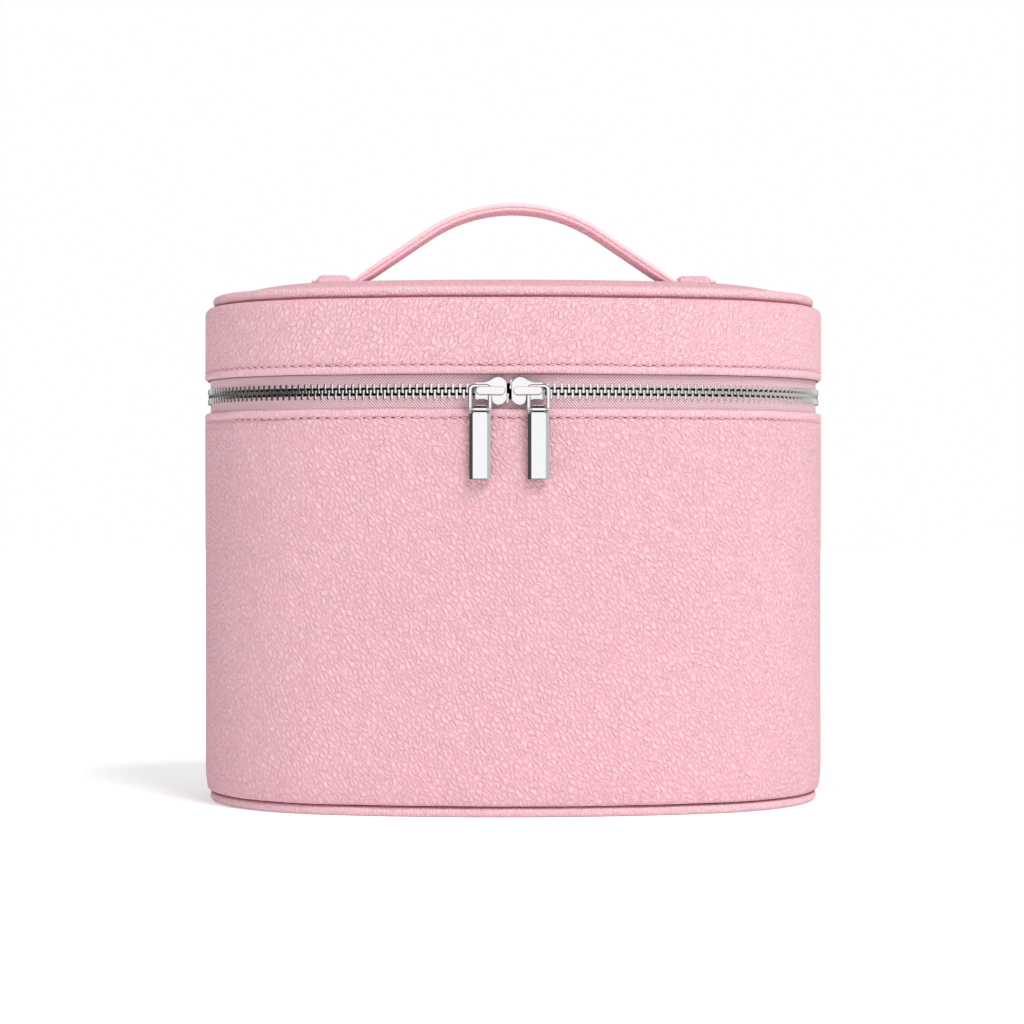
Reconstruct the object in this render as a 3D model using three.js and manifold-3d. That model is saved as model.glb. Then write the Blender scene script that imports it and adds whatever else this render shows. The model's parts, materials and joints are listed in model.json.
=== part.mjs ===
// An oval makeup train case: a padded leather-cloth shell, a lid that zips round and hinges on a leather
// strip at the back, two zip sliders with chrome pulls that meet in front, and a strap handle on top.
// Millimetres, +Z up, front towards -Y. The origin is the middle of the flat base.
import * as THREE from "three";
import { mergeVertices } from "three/addons/utils/BufferGeometryUtils.js";
import Module from "manifold-3d";

const wasm = await Module();
wasm.setup();

// ---- Driving dimensions: the plan, an oval of four tangent arcs ----
const WIDTH = 242.4;
const DEPTH = 153.3;
const LONG_RADIUS = 250; // the bowed front and back
const LONG_STEPS = 8; // facets on the front, and on the back
const END_STEPS = 14; // facets on each round end

// ---- Driving dimensions: heights ----
const BASE_ROLL = 3.65; // thickness of the rolled edge that the case stands on
const CASE_TOP = 151.1; // upper edge of the lower hem
const LID_BOTTOM = 164.1; // lower edge of the upper hem
const LID_SHOULDER = 192.8; // where the lid's wall meets the rolled edge of its top
const TOP_ROLL = 4.2;
const CROWN = 201.4; // middle of the padded top
const ZIP_HEIGHT = (CASE_TOP + LID_BOTTOM) / 2;

// ---- Driving dimensions: layers of the wall, as insets from its outer face ----
const GAP = 0.3; // between pieces that touch
const SKIN = 1.2; // leather-cloth
const BOARD_IN = 4.5;
const LINING_OUT = BOARD_IN + GAP;
const LINING_IN = LINING_OUT + 0.8;
const HEM_HEIGHT = 3.1;
const HEM_IN = 1.65;
const TAPE_OUT = HEM_IN + GAP;
const TAPE_IN = 2.6;
const TURN = 3; // radius of the wall's turned-in edges

// ---- Driving dimensions: zip chain ----
const CHAIN_OUT = 0.95;
const CHAIN_IN = 3.65;
const CHAIN_HALF = 2.95;
const CHAIN_SLOT = 1.1; // half of the way that the sliders' posts run in
const SLIDER_MEET = -3.6; // where the two sliders meet, along X
const SLIDER_SPACING = 6.8; // from there to the middle of each slider
const SLIDER_LENGTH = 12;

// ---- Driving dimensions: handle ----
const STRAP_WIDTH = 20;
const STRAP_THICK = 3.3;
const TAIL_THICK = 2.1;
const ARCH_APEX = 234;
const ARCH_RADIUS = 62; // outer face of the arch
const ARCH_ANGLE = THREE.MathUtils.degToRad(34);
const ARCH_FOOT = 55; // half span of the part that tilts
const TAIL_END = 79.3;
const KEEPER_START = 64.5;
const KEEPER_END = 77;

const HALF_WIDTH = WIDTH / 2;
const LONG_OFFSET = LONG_RADIUS - DEPTH / 2; // from the plan's centre to each long arc's centre
const END_RADIUS =
  (LONG_RADIUS ** 2 - HALF_WIDTH ** 2 - LONG_OFFSET ** 2) / (2 * (LONG_RADIUS - HALF_WIDTH));
const END_OFFSET = HALF_WIDTH - END_RADIUS;
const LONG_ANGLE = Math.atan2(END_OFFSET, LONG_OFFSET); // half angle of a long arc
const ROUND = 2 * (LONG_STEPS + END_STEPS); // facets all the way round
const HINGE_START = 1; // facets of the back that the hinge strip leaves to the zip at each end
const HINGE_END = LONG_STEPS - HINGE_START;

// ---- Materials ----
const finish = (color, roughness, metalness = 0) =>
  new THREE.MeshStandardMaterial({ color, roughness, metalness });
const leather = finish(0xe9b4bf, 0.5);
const leatherEdge = finish(0xe5a9b6, 0.45);
const board = finish(0xc9b79c, 0.9);
const liningCloth = finish(0xf0d4da, 0.8);
const foam = finish(0xf4efdf, 0.95);
const tapeCloth = finish(0xe4bac4, 0.85);
const toothMetal = finish(0xc9c9cc, 0.3, 1);
const chrome = finish(0xe6e6e8, 0.12, 1);
const glass = finish(0xdfe7ea, 0.05, 1);
const elastic = finish(0xe8b9c4, 0.9);

// ---- Geometry helpers ----

// The point at a given inset and height, u facets round the oval from the right end of the back.
function ovalPoint(u, inset, z) {
  const sections = [
    { steps: LONG_STEPS, cx: 0, cy: -LONG_OFFSET, r: LONG_RADIUS, a: Math.PI / 2 - LONG_ANGLE },
    { steps: END_STEPS, cx: -END_OFFSET, cy: 0, r: END_RADIUS, a: Math.PI / 2 + LONG_ANGLE },
    { steps: LONG_STEPS, cx: 0, cy: LONG_OFFSET, r: LONG_RADIUS, a: 1.5 * Math.PI - LONG_ANGLE },
    { steps: END_STEPS, cx: END_OFFSET, cy: 0, r: END_RADIUS, a: 1.5 * Math.PI + LONG_ANGLE },
  ];
  let left = ((u % ROUND) + ROUND) % ROUND;
  for (const { steps, cx, cy, r, a } of sections) {
    if (left <= steps) {
      const sweep = steps === LONG_STEPS ? 2 * LONG_ANGLE : Math.PI - 2 * LONG_ANGLE;
      const angle = a + (sweep * left) / steps;
      const radius = r - inset;
      return new THREE.Vector3(cx + radius * Math.cos(angle), cy + radius * Math.sin(angle), z);
    }
    left -= steps;
  }
}

// A geometry from points and triangles, turned so that its faces point out.
function closedGeometry(points, triangles) {
  const volume = triangles.reduce((sum, [a, b, c]) => {
    return sum + points[a].dot(new THREE.Vector3().crossVectors(points[b], points[c]));
  }, 0);
  const faces = volume > 0 ? triangles : triangles.map(([a, b, c]) => [a, c, b]);
  const geometry = new THREE.BufferGeometry().setFromPoints(points);
  return geometry.setIndex(faces.flat());
}

// Triangles between two rings of n points that start at a and b.
function strip(a, b, n, closed) {
  const triangles = [];
  for (let i = 0; i < (closed ? n : n - 1); i++) {
    const j = (i + 1) % n;
    triangles.push([a + i, a + j, b + j], [a + i, b + j, b + i]);
  }
  return triangles;
}

// Joins a row of closed sections, each with the same number of points; the ends are capped unless it closes.
function loft(sections, outline, closes = false) {
  const n = outline.length;
  const points = sections.flat();
  const triangles = [];
  const joins = closes ? sections.length : sections.length - 1;
  for (let s = 0; s < joins; s++) {
    triangles.push(...strip(s * n, ((s + 1) % sections.length) * n, n, true));
  }
  if (!closes) {
    const flat = outline.map(([x, y]) => new THREE.Vector2(x, y));
    const last = (sections.length - 1) * n;
    for (const [a, b, c] of THREE.ShapeUtils.triangulateShape(flat, [])) {
      const forward = (b - a) * (c - b) * (a - c) < 0; // whether the corners follow the outline's order
      const [p, q] = forward ? [b, c] : [c, b];
      triangles.push([a, q, p], [a + last, p + last, q + last]);
    }
  }
  return closedGeometry(points, triangles);
}

// A wall or rim: a closed profile of [inset, z] points carried round the oval from facet `from` to facet `to`.
function band(profile, from = 0, to = ROUND) {
  const closes = to - from === ROUND;
  const stops = [from];
  for (let u = Math.floor(from) + 1; u < to; u++) stops.push(u);
  if (!closes) stops.push(to);
  const sections = stops.map((u) => profile.map(([inset, z]) => ovalPoint(u, inset, z)));
  return loft(sections, profile, closes);
}

// A panel: an open profile of [inset, z] points from its underside to its top, closed by flat middles.
function panel(profile) {
  const rings = profile.map(([inset, z]) =>
    Array.from({ length: ROUND }, (_, u) => ovalPoint(u, inset, z)),
  );
  const points = rings.flat();
  const triangles = [];
  for (let r = 0; r < rings.length - 1; r++) {
    triangles.push(...strip(r * ROUND, (r + 1) * ROUND, ROUND, true));
  }
  const under = points.push(new THREE.Vector3(0, 0, profile[0][1])) - 1;
  const over = points.push(new THREE.Vector3(0, 0, profile.at(-1)[1])) - 1;
  const last = (rings.length - 1) * ROUND;
  for (let u = 0; u < ROUND; u++) {
    const next = (u + 1) % ROUND;
    triangles.push([under, next, u], [over, last + u, last + next]);
  }
  return closedGeometry(points, triangles);
}

// Points of a quarter turn or other arc in a profile, centre [x, y].
function arc(x, y, radius, start, end, steps) {
  return Array.from({ length: steps + 1 }, (_, i) => {
    const angle = THREE.MathUtils.degToRad(start + ((end - start) * i) / steps);
    return [x + radius * Math.cos(angle), y + radius * Math.sin(angle)];
  });
}

// An eight-sided profile for a rolled edge, with flats at its top, foot and sides.
const rollProfile = (inset, z, radius) =>
  arc(inset + radius, z + radius, radius / Math.cos(Math.PI / 8), 22.5, 337.5, 7);

function shapeOf(points) {
  return new THREE.Shape(points.map(([x, y]) => new THREE.Vector2(x, y)));
}

// A shape in local X and Z, given thickness from `near` to `far` away from the wall, which is towards -Y.
function plateOut(shape, near, far) {
  const geometry = new THREE.ExtrudeGeometry(shape, {
    depth: far - near,
    bevelEnabled: false,
    curveSegments: 4,
  });
  return geometry.rotateX(Math.PI / 2).translate(0, -near, 0);
}

function solid(geometry) {
  const bare = geometry.clone();
  bare.deleteAttribute("normal");
  bare.deleteAttribute("uv");
  const merged = mergeVertices(bare, 1e-4);
  return new wasm.Manifold(
    new wasm.Mesh({
      numProp: 3,
      vertProperties: new Float32Array(merged.attributes.position.array),
      triVerts: new Uint32Array(merged.index.array),
    }),
  );
}

function fromSolid(made) {
  const mesh = made.getMesh();
  return new THREE.BufferGeometry()
    .setAttribute("position", new THREE.BufferAttribute(mesh.vertProperties, 3))
    .setIndex(new THREE.BufferAttribute(mesh.triVerts, 1));
}

const join = (...pieces) => fromSolid(pieces.map(solid).reduce((a, b) => a.add(b)));

const cut = (piece, tool) => fromSolid(solid(piece).subtract(solid(tool)));

const trainCase = new THREE.Group();

function add(name, geometry, material, parent = trainCase) {
  const mesh = new THREE.Mesh(geometry, material);
  mesh.name = name;
  parent.add(mesh);
  return mesh;
}

const rectangle = (in0, z0, in1, z1) => [
  [in0, z0],
  [in0, z1],
  [in1, z1],
  [in1, z0],
];

// ---- Base: a rolled edge round a leather-cloth panel, with a board and a lining above it ----
const ROLL_INSET = 1.8;
const PANEL_INSET = ROLL_INSET + BASE_ROLL + GAP;
const BASE_BOARD = 3;
const BASE_LINING_Z = SKIN + GAP + BASE_BOARD + GAP;
const FLOOR_LINING = 0.8;

add("base_rolled_edge", band(rollProfile(ROLL_INSET, 0, BASE_ROLL / 2)), leatherEdge);
add("base_panel", panel([[PANEL_INSET, 0], [PANEL_INSET, SKIN]]), leather);
add(
  "base_board",
  panel([[PANEL_INSET, SKIN + GAP], [PANEL_INSET, SKIN + GAP + BASE_BOARD]]),
  board,
);
add(
  "base_lining",
  panel([[LINING_IN + GAP, BASE_LINING_Z], [LINING_IN + GAP, BASE_LINING_Z + FLOOR_LINING]]),
  liningCloth,
);

// ---- Case wall: leather-cloth turned in at the foot, a stiff board, a lining and a folded hem ----
const WALL_FOOT = BASE_ROLL + GAP;
const HEM_SEAM = CASE_TOP - HEM_HEIGHT; // stitch line under the hem
const BOARD_STEP = HEM_SEAM - 1; // the board thins here to leave room for the tape
const turnCentre = WALL_FOOT + TURN;

add(
  "case_wall",
  band([
    ...arc(TURN, turnCentre, TURN, 270, 180, 3),
    [0, HEM_SEAM - GAP],
    [SKIN, HEM_SEAM - GAP],
    ...arc(TURN, turnCentre, TURN - SKIN, 180, 270, 2),
  ]),
  leather,
);
add(
  "case_wall_board",
  band([
    [SKIN + GAP, WALL_FOOT + TURN],
    [SKIN + GAP, BOARD_STEP],
    [TAPE_IN + GAP, BOARD_STEP],
    [TAPE_IN + GAP, CASE_TOP - GAP],
    [BOARD_IN, CASE_TOP - GAP],
    [BOARD_IN, WALL_FOOT + TURN],
  ]),
  board,
);
add("case_wall_lining", band(rectangle(LINING_OUT, WALL_FOOT, LINING_IN, CASE_TOP - GAP)), liningCloth);

// A folded hem: its seam is at z0 and its rolled lip at z1, which may be above or below.
const hem = (z0, z1) => {
  const up = Math.sign(z1 - z0);
  return band([
    [0.1, z0],
    [-0.2, z0 + 0.8 * up],
    [-0.2, z1 - 0.8 * up],
    [0.6, z1],
    [HEM_IN, z1 - 0.3 * up],
    [HEM_IN, z0],
  ]);
};
add("case_hem", hem(HEM_SEAM, CASE_TOP), leatherEdge);

// ---- Zip: two tapes, two rows of teeth and two end stops, from one end of the hinge to the other ----
const ZIP_FROM = HINGE_END;
const ZIP_TO = ROUND + HINGE_START;
const CHAIN_TRIM = 0.2; // facets at each end of the tape without teeth
const TAPE_TUCK = BOARD_STEP + GAP;
const UPPER_SEAM = LID_BOTTOM + HEM_HEIGHT;
const UPPER_STEP = UPPER_SEAM + 1;

add(
  "lower_zip_tape",
  band(rectangle(TAPE_OUT, TAPE_TUCK, TAPE_IN, ZIP_HEIGHT - CHAIN_HALF - GAP), ZIP_FROM, ZIP_TO),
  tapeCloth,
);
add(
  "upper_zip_tape",
  band(rectangle(TAPE_OUT, ZIP_HEIGHT + CHAIN_HALF + GAP, TAPE_IN, UPPER_STEP - GAP), ZIP_FROM, ZIP_TO),
  tapeCloth,
);
for (const [name, side] of [["lower_tooth_row", -1], ["upper_tooth_row", 1]]) {
  const near = ZIP_HEIGHT + side * CHAIN_SLOT;
  const far = ZIP_HEIGHT + side * CHAIN_HALF;
  const row = rectangle(CHAIN_OUT, Math.min(near, far), CHAIN_IN, Math.max(near, far));
  add(name, band(row, ZIP_FROM + CHAIN_TRIM, ZIP_TO - CHAIN_TRIM), toothMetal);
}
const stopProfile = rectangle(CHAIN_OUT, ZIP_HEIGHT - CHAIN_HALF, CHAIN_IN, ZIP_HEIGHT + CHAIN_HALF);
add("left_zip_stop", band(stopProfile, ZIP_FROM + 0.04, ZIP_FROM + 0.16), toothMetal);
add("right_zip_stop", band(stopProfile, ZIP_TO - 0.16, ZIP_TO - 0.04), toothMetal);

// ---- Hinge: a leather strip behind both hems at the back, lined inside ----
const HINGE_TRIM = 0.06;
add(
  "hinge_strip",
  band(
    rectangle(TAPE_OUT, TAPE_TUCK, TAPE_IN, UPPER_STEP - GAP),
    HINGE_START + HINGE_TRIM,
    HINGE_END - HINGE_TRIM,
  ),
  leather,
);
add(
  "hinge_lining",
  band(
    rectangle(TAPE_IN + GAP, CASE_TOP, BOARD_IN - GAP, LID_BOTTOM),
    HINGE_START + HINGE_TRIM,
    HINGE_END - HINGE_TRIM,
  ),
  liningCloth,
);

// ---- Inside the case: an elastic band for brushes, sewn to the back wall ----
add("brush_band", band(rectangle(LINING_IN + GAP, 98, LINING_IN + 1.4, 118), 0.8, 7.2), elastic);

// ---- Lid wall ----
const shoulderCentre = LID_SHOULDER - GAP - TURN;
add("lid_hem", hem(UPPER_SEAM, LID_BOTTOM), leatherEdge);
add(
  "lid_wall",
  band([
    ...arc(TURN, shoulderCentre, TURN, 90, 180, 3),
    [0, UPPER_SEAM + GAP],
    [SKIN, UPPER_SEAM + GAP],
    ...arc(TURN, shoulderCentre, TURN - SKIN, 180, 90, 2),
  ]),
  leather,
);
add(
  "lid_wall_board",
  band([
    [SKIN + GAP, shoulderCentre],
    [SKIN + GAP, UPPER_STEP],
    [TAPE_IN + GAP, UPPER_STEP],
    [TAPE_IN + GAP, LID_BOTTOM + GAP],
    [BOARD_IN, LID_BOTTOM + GAP],
    [BOARD_IN, shoulderCentre],
  ]),
  board,
);
add(
  "lid_wall_lining",
  band(rectangle(LINING_OUT, LID_BOTTOM + GAP, LINING_IN, LID_SHOULDER - GAP)),
  liningCloth,
);

// ---- Lid top: a rolled edge round a padded, crowned panel over foam and a board ----
const TOP_ROLL_INSET = 3;
const TOP_INSET = TOP_ROLL_INSET + TOP_ROLL + GAP;
const TOP_BOARD_Z = 191.2;
const TOP_BOARD = 3;
const TOP_LINING_Z = 190.1;
const CROWN_START = 195.8; // height of the padded panel's edge, inside the rolled edge
const CROWN_REACH = 31; // from the panel's edge to where its middle lies flat

// Height of the padded top at a given inset.
const crown = (inset) => {
  const along = Math.min(1, (inset - TOP_INSET) / CROWN_REACH);
  return CROWN_START + (CROWN - CROWN_START) * Math.sin((along * Math.PI) / 2) ** 0.8;
};
const crownInsets = [0, 0.12, 0.35, 0.65, 1].map((f) => TOP_INSET + f * CROWN_REACH);

add("lid_top_rolled_edge", band(rollProfile(TOP_ROLL_INSET, LID_SHOULDER, TOP_ROLL / 2)), leatherEdge);
add(
  "lid_top_panel",
  panel([
    ...crownInsets.toReversed().map((inset) => [inset, crown(inset) - SKIN]),
    ...crownInsets.map((inset) => [inset, crown(inset)]),
  ]),
  leather,
);
const foamInsets = crownInsets.slice(1).map((inset) => inset + 1);
add(
  "lid_foam",
  panel([
    [foamInsets[0], TOP_BOARD_Z + TOP_BOARD + GAP],
    ...foamInsets.map((inset) => [inset, crown(inset - 1) - SKIN - 2 * GAP]),
  ]),
  foam,
);
add(
  "lid_top_board",
  panel([[TOP_INSET, TOP_BOARD_Z], [TOP_INSET, TOP_BOARD_Z + TOP_BOARD]]),
  board,
);
add(
  "lid_top_lining",
  panel([[LINING_IN + GAP, TOP_LINING_Z], [LINING_IN + GAP, TOP_LINING_Z + FLOOR_LINING]]),
  liningCloth,
);

// ---- Inside the lid: a mirror in a padded frame ----
const MIRROR_FRAME_INSET = 22;
const MIRROR_INSET = 27.3;
add(
  "mirror_frame",
  band(rectangle(MIRROR_FRAME_INSET, 187.6, MIRROR_INSET - GAP, TOP_LINING_Z - GAP)),
  leatherEdge,
);
add("mirror", panel([[MIRROR_INSET, 187.9], [MIRROR_INSET, TOP_LINING_Z - GAP]]), glass);

// ---- Handle: a strap in two layers; its tails lie flat on the lid under two keepers ----
const archMiddle = ARCH_APEX - ARCH_RADIUS; // height of the arch's centre
const strapMid = ARCH_RADIUS - STRAP_THICK / 2;
const straightX = strapMid * Math.sin(ARCH_ANGLE);
const straightZ = archMiddle + strapMid * Math.cos(ARCH_ANGLE);
const tailZ = CROWN + GAP + TAIL_THICK / 2;
const straightHeight = (x) => straightZ - (x - straightX) * Math.tan(ARCH_ANGLE);

// Sections of a strap across X: each stop has x, z, a slope angle and the layer's lower and upper faces.
function strap(stops) {
  const half = STRAP_WIDTH / 2;
  const round = 0.5;
  const across = ({ low, high }) => [
    [-half, low],
    [-half, high - round],
    [-half + round, high],
    [half - round, high],
    [half, high - round],
    [half, low],
  ];
  const sections = stops.map((stop) =>
    across(stop).map(
      ([y, n]) =>
        new THREE.Vector3(
          stop.x + n * Math.sin(stop.slope),
          y,
          stop.z + n * Math.cos(stop.slope),
        ),
    ),
  );
  return loft(sections, across(stops[0]));
}

// The stops of the arch, from its left foot to its right foot.
// The arch and the tails meet on upright planes a gap apart, so the arch tilts past the tails without
// touching them. An upright cut through the sloping strap is this much longer than its thickness.
const uprightCut = 1 / Math.cos(ARCH_ANGLE);
const archStops = (low, high) => {
  const bends = Array.from({ length: 9 }, (_, i) => {
    const slope = ARCH_ANGLE * (i / 4 - 1);
    return { x: strapMid * Math.sin(slope), z: archMiddle + strapMid * Math.cos(slope), slope, low, high };
  });
  const foot = (side) => ({
    x: side * ARCH_FOOT,
    z: straightHeight(ARCH_FOOT),
    slope: 0,
    low: low * uprightCut,
    high: high * uprightCut,
  });
  return [foot(-1), ...bends, foot(1)];
};
add("handle_strap", strap(archStops(0, STRAP_THICK / 2)), leather);
add("handle_strap_underside", strap(archStops(-STRAP_THICK / 2, -GAP)), leatherEdge);

// A tail goes on down the slope, then turns flat and runs out under its keeper.
const tailStops = [
  { x: ARCH_FOOT + 0.4, z: straightHeight(ARCH_FOOT + 0.4), turn: 0, thick: STRAP_THICK * uprightCut },
  { x: 59.6, z: straightHeight(59.6), turn: 1, thick: 2.6 },
  { x: 62, z: tailZ + 0.55, turn: 0.5, thick: 2.2 },
  { x: 63.8, z: tailZ, turn: 0, thick: TAIL_THICK },
  { x: TAIL_END, z: tailZ, turn: 0, thick: TAIL_THICK },
];
for (const [side, sign] of [["left", -1], ["right", 1]]) {
  const stops = tailStops.map(({ x, z, turn, thick }) => ({
    x: sign * x,
    z,
    slope: sign * turn * ARCH_ANGLE,
    low: -thick / 2,
    high: thick / 2,
  }));
  add(side + "_strap_tail", strap(stops), leather);

  const inside = STRAP_WIDTH / 2 + 0.4;
  const outside = STRAP_WIDTH / 2 + 3;
  const keeperTop = 3.9;
  const slotTop = TAIL_THICK + GAP;
  const loop = shapeOf([
    [-outside, 0],
    [-inside, 0],
    [-inside, slotTop],
    [inside, slotTop],
    [inside, 0],
    [outside, 0],
    [outside, keeperTop - 1.2],
    [outside - 1.2, keeperTop],
    [-outside + 1.2, keeperTop],
    [-outside, keeperTop - 1.2],
  ]);
  const keeper = new THREE.ExtrudeGeometry(loop, {
    depth: KEEPER_END - KEEPER_START,
    bevelEnabled: false,
  });
  keeper.rotateX(Math.PI / 2).rotateZ(Math.PI / 2);
  const start = sign > 0 ? KEEPER_START : -KEEPER_END;
  add(side + "_keeper", keeper, leatherEdge).position.set(start, 0, CROWN + GAP);
}

// ---- Zip sliders and pulls: X runs along the zip from the meeting point, -Y away from the wall ----
const FRONT_PLATE = [-0.65, 0.35];
const REAR_PLATE = [-4.75, -4.05];
const HEAD_HALF = 5.35;
const TAIL_HALF = 3.5;
const LEG_RADIUS = 0.8;
const TAIL_LEG = 3.9; // the leg that the link hangs on
const HEAD_LEG = -4.2;
const CAP = [3.2, 4]; // the bridge's cap, out from the wall
const LINK = [1.5, 2.9];
const LINK_HALF = 4.45;
const LINK_TOP = 2.5;
const LINK_FOOT = -7.7;
const ARM = 1.6;
const PIN_HEIGHT = -6.8;
const PIN_RADIUS = 0.85;
const KNUCKLE_HALF = 2.5;
const KNUCKLE_OUTER = 1.6;
const KNUCKLE_INNER = 1.2;
const BAR_HALF = 3.95;
const BAR_TOP = -8.05;
const BAR_FOOT = -32.7;
const BAR = [0.9, 3.5];
const linkMiddle = (LINK[0] + LINK[1]) / 2;

// A slider plate seen from the front: round at the head, narrower at the tail.
function sliderOutline(inset) {
  const end = SLIDER_LENGTH / 2 - inset;
  const head = HEAD_HALF - inset;
  const tail = TAIL_HALF - inset;
  const shape = new THREE.Shape();
  shape.moveTo(-end, -head * 0.6);
  shape.quadraticCurveTo(-end, -head, -end * 0.45, -head);
  shape.bezierCurveTo(end * 0.1, -head, end * 0.3, -tail, end - 1, -tail);
  shape.quadraticCurveTo(end, -tail, end, -tail + 1);
  shape.lineTo(end, tail - 1);
  shape.quadraticCurveTo(end, tail, end - 1, tail);
  shape.bezierCurveTo(end * 0.3, tail, end * 0.1, head, -end * 0.45, head);
  shape.quadraticCurveTo(-end, head, -end, head * 0.6);
  return shape;
}

const box = (x0, x1, out0, out1, z0, z1) => plateOut(shapeOf(rectangle(x0, z0, x1, z1)), out0, out1);

function post(x, near, far, radius) {
  const shape = new THREE.Shape().absarc(x, 0, radius, 0, 2 * Math.PI);
  return plateOut(shape, near, far);
}

// A cylinder along X at the pin's place.
function alongPin(halfLength, radius) {
  const cylinder = new THREE.CylinderGeometry(radius, radius, 2 * halfLength, 12);
  return cylinder.rotateZ(Math.PI / 2).translate(TAIL_LEG, -linkMiddle, PIN_HEIGHT);
}

const sliderBody = join(
  plateOut(sliderOutline(0), ...FRONT_PLATE),
  plateOut(sliderOutline(0.4), ...REAR_PLATE),
  box(-4.6, -1, REAR_PLATE[1] - 0.2, FRONT_PLATE[0] + 0.2, -LEG_RADIUS, LEG_RADIUS),
);

const capHalf = 5.5;
const capRound = 1.6;
const capShape = new THREE.Shape()
  .absarc(capHalf - capRound, 0, capRound, -Math.PI / 2, Math.PI / 2)
  .absarc(-capHalf + capRound, 0, capRound, Math.PI / 2, 1.5 * Math.PI);
const bridge = join(
  plateOut(capShape, ...CAP),
  post(TAIL_LEG, FRONT_PLATE[1] + GAP, CAP[0] + 0.2, LEG_RADIUS),
  post(HEAD_LEG, FRONT_PLATE[1] + GAP, CAP[0] + 0.2, LEG_RADIUS),
);

// The link: a shackle over the bridge's leg, closed by the pin that the pull swings on.
const linkSide = (x) => box(x - ARM / 2, x + ARM / 2, ...LINK, LINK_FOOT, LINK_TOP);
const link = join(
  linkSide(TAIL_LEG - LINK_HALF + ARM / 2),
  linkSide(TAIL_LEG + LINK_HALF - ARM / 2),
  box(TAIL_LEG - LINK_HALF, TAIL_LEG + LINK_HALF, ...LINK, LEG_RADIUS + GAP, LINK_TOP),
  alongPin(LINK_HALF - ARM / 2, PIN_RADIUS),
);

// The pull: a bevelled bar whose knuckle turns on the pin.
const BEVEL = 1;
const barSection = shapeOf([
  [-BAR_HALF, BAR[0]],
  [-BAR_HALF, BAR[1] - BEVEL],
  [-BAR_HALF + BEVEL, BAR[1]],
  [BAR_HALF - BEVEL, BAR[1]],
  [BAR_HALF, BAR[1] - BEVEL],
  [BAR_HALF, BAR[0]],
]);
const barPlate = new THREE.ExtrudeGeometry(barSection, {
  depth: BAR_TOP - BAR_FOOT,
  bevelEnabled: false,
});
barPlate.rotateX(Math.PI).translate(TAIL_LEG, 0, BAR_TOP);
const pull = cut(
  join(
    barPlate,
    box(TAIL_LEG - KNUCKLE_HALF, TAIL_LEG + KNUCKLE_HALF, 1.2, 3.2, BAR_TOP - 0.5, PIN_HEIGHT),
    alongPin(KNUCKLE_HALF, KNUCKLE_OUTER),
  ),
  alongPin(KNUCKLE_HALF + 1, KNUCKLE_INNER),
);

for (const [side, sign] of [["left", -1], ["right", 1]]) {
  const meeting = new THREE.Group();
  meeting.position.set(0, LONG_OFFSET, ZIP_HEIGHT);
  meeting.rotation.z = SLIDER_MEET / LONG_RADIUS;
  const mirrored = new THREE.Group();
  mirrored.scale.x = sign;
  const place = new THREE.Group();
  place.rotation.z = SLIDER_SPACING / LONG_RADIUS;
  trainCase.add(meeting.add(mirrored.add(place)));
  const pieces = [
    ["_slider", sliderBody],
    ["_slider_bridge", bridge],
    ["_link", link],
    ["_pull", pull],
  ];
  for (const [suffix, geometry] of pieces) {
    add(side + suffix, geometry, chrome, place).position.y = -LONG_RADIUS;
  }
}

export default trainCase;
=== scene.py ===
# %% [markdown]
# # A makeup train case
#
# The case is an oval box of pebbled pink leather-cloth with a lid that zips round. The engineering model
# already fixes every size, joint and clearance; this notebook gives each piece its finished surface.
# It works outwards from one idea: nearly everything on this bag is a profile carried round the same oval.

# %% Load the engineering model
import json
import math

import bmesh
import bpy
import numpy as np
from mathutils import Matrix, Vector


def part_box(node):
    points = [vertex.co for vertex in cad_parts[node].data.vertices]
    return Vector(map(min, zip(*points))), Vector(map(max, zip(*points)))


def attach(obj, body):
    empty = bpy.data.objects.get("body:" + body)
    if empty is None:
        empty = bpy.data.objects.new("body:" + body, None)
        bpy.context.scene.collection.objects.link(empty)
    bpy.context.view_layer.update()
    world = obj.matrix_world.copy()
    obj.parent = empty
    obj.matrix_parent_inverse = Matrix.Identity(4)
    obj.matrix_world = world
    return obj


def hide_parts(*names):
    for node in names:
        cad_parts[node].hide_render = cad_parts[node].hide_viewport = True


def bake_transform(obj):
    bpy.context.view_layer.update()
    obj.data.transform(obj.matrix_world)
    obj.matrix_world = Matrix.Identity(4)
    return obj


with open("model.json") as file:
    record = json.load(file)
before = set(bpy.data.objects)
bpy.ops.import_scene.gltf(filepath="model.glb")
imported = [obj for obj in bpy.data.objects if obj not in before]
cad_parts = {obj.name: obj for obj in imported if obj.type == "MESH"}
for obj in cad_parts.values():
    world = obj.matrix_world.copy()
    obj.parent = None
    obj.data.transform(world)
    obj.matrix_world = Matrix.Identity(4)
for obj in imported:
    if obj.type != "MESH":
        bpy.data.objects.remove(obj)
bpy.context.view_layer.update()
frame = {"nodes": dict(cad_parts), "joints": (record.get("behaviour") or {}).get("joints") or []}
joints = {joint["name"]: joint for joint in frame["joints"]}
MM = 0.001

# %% [markdown]
# ## Camera
#
# A long lens a little over a metre away, at about half the height of the bag, keeps the walls upright and
# shows just the edge of the top. It stands slightly to the left, so the right end falls away a little more.

# %% Camera
CAMERA_PLACE = Vector((-0.030, -1.1467, 0.117))
CAMERA_TARGET = Vector((-0.0006, 0.0, 0.1127))
CAMERA_LENS_MM = 102
camera_data = bpy.data.cameras.new("studio_camera")
camera_data.sensor_width = 36
camera_data.lens = CAMERA_LENS_MM
camera_data.dof.use_dof = False
camera = bpy.data.objects.new("studio_camera", camera_data)
camera.location = CAMERA_PLACE
camera.rotation_euler = (CAMERA_TARGET - CAMERA_PLACE).to_track_quat("-Z", "Y").to_euler()
bpy.context.scene.collection.objects.link(camera)
bpy.context.scene.camera = camera
print("camera to case, mm:", round((CAMERA_TARGET - CAMERA_PLACE).length / MM))

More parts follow.
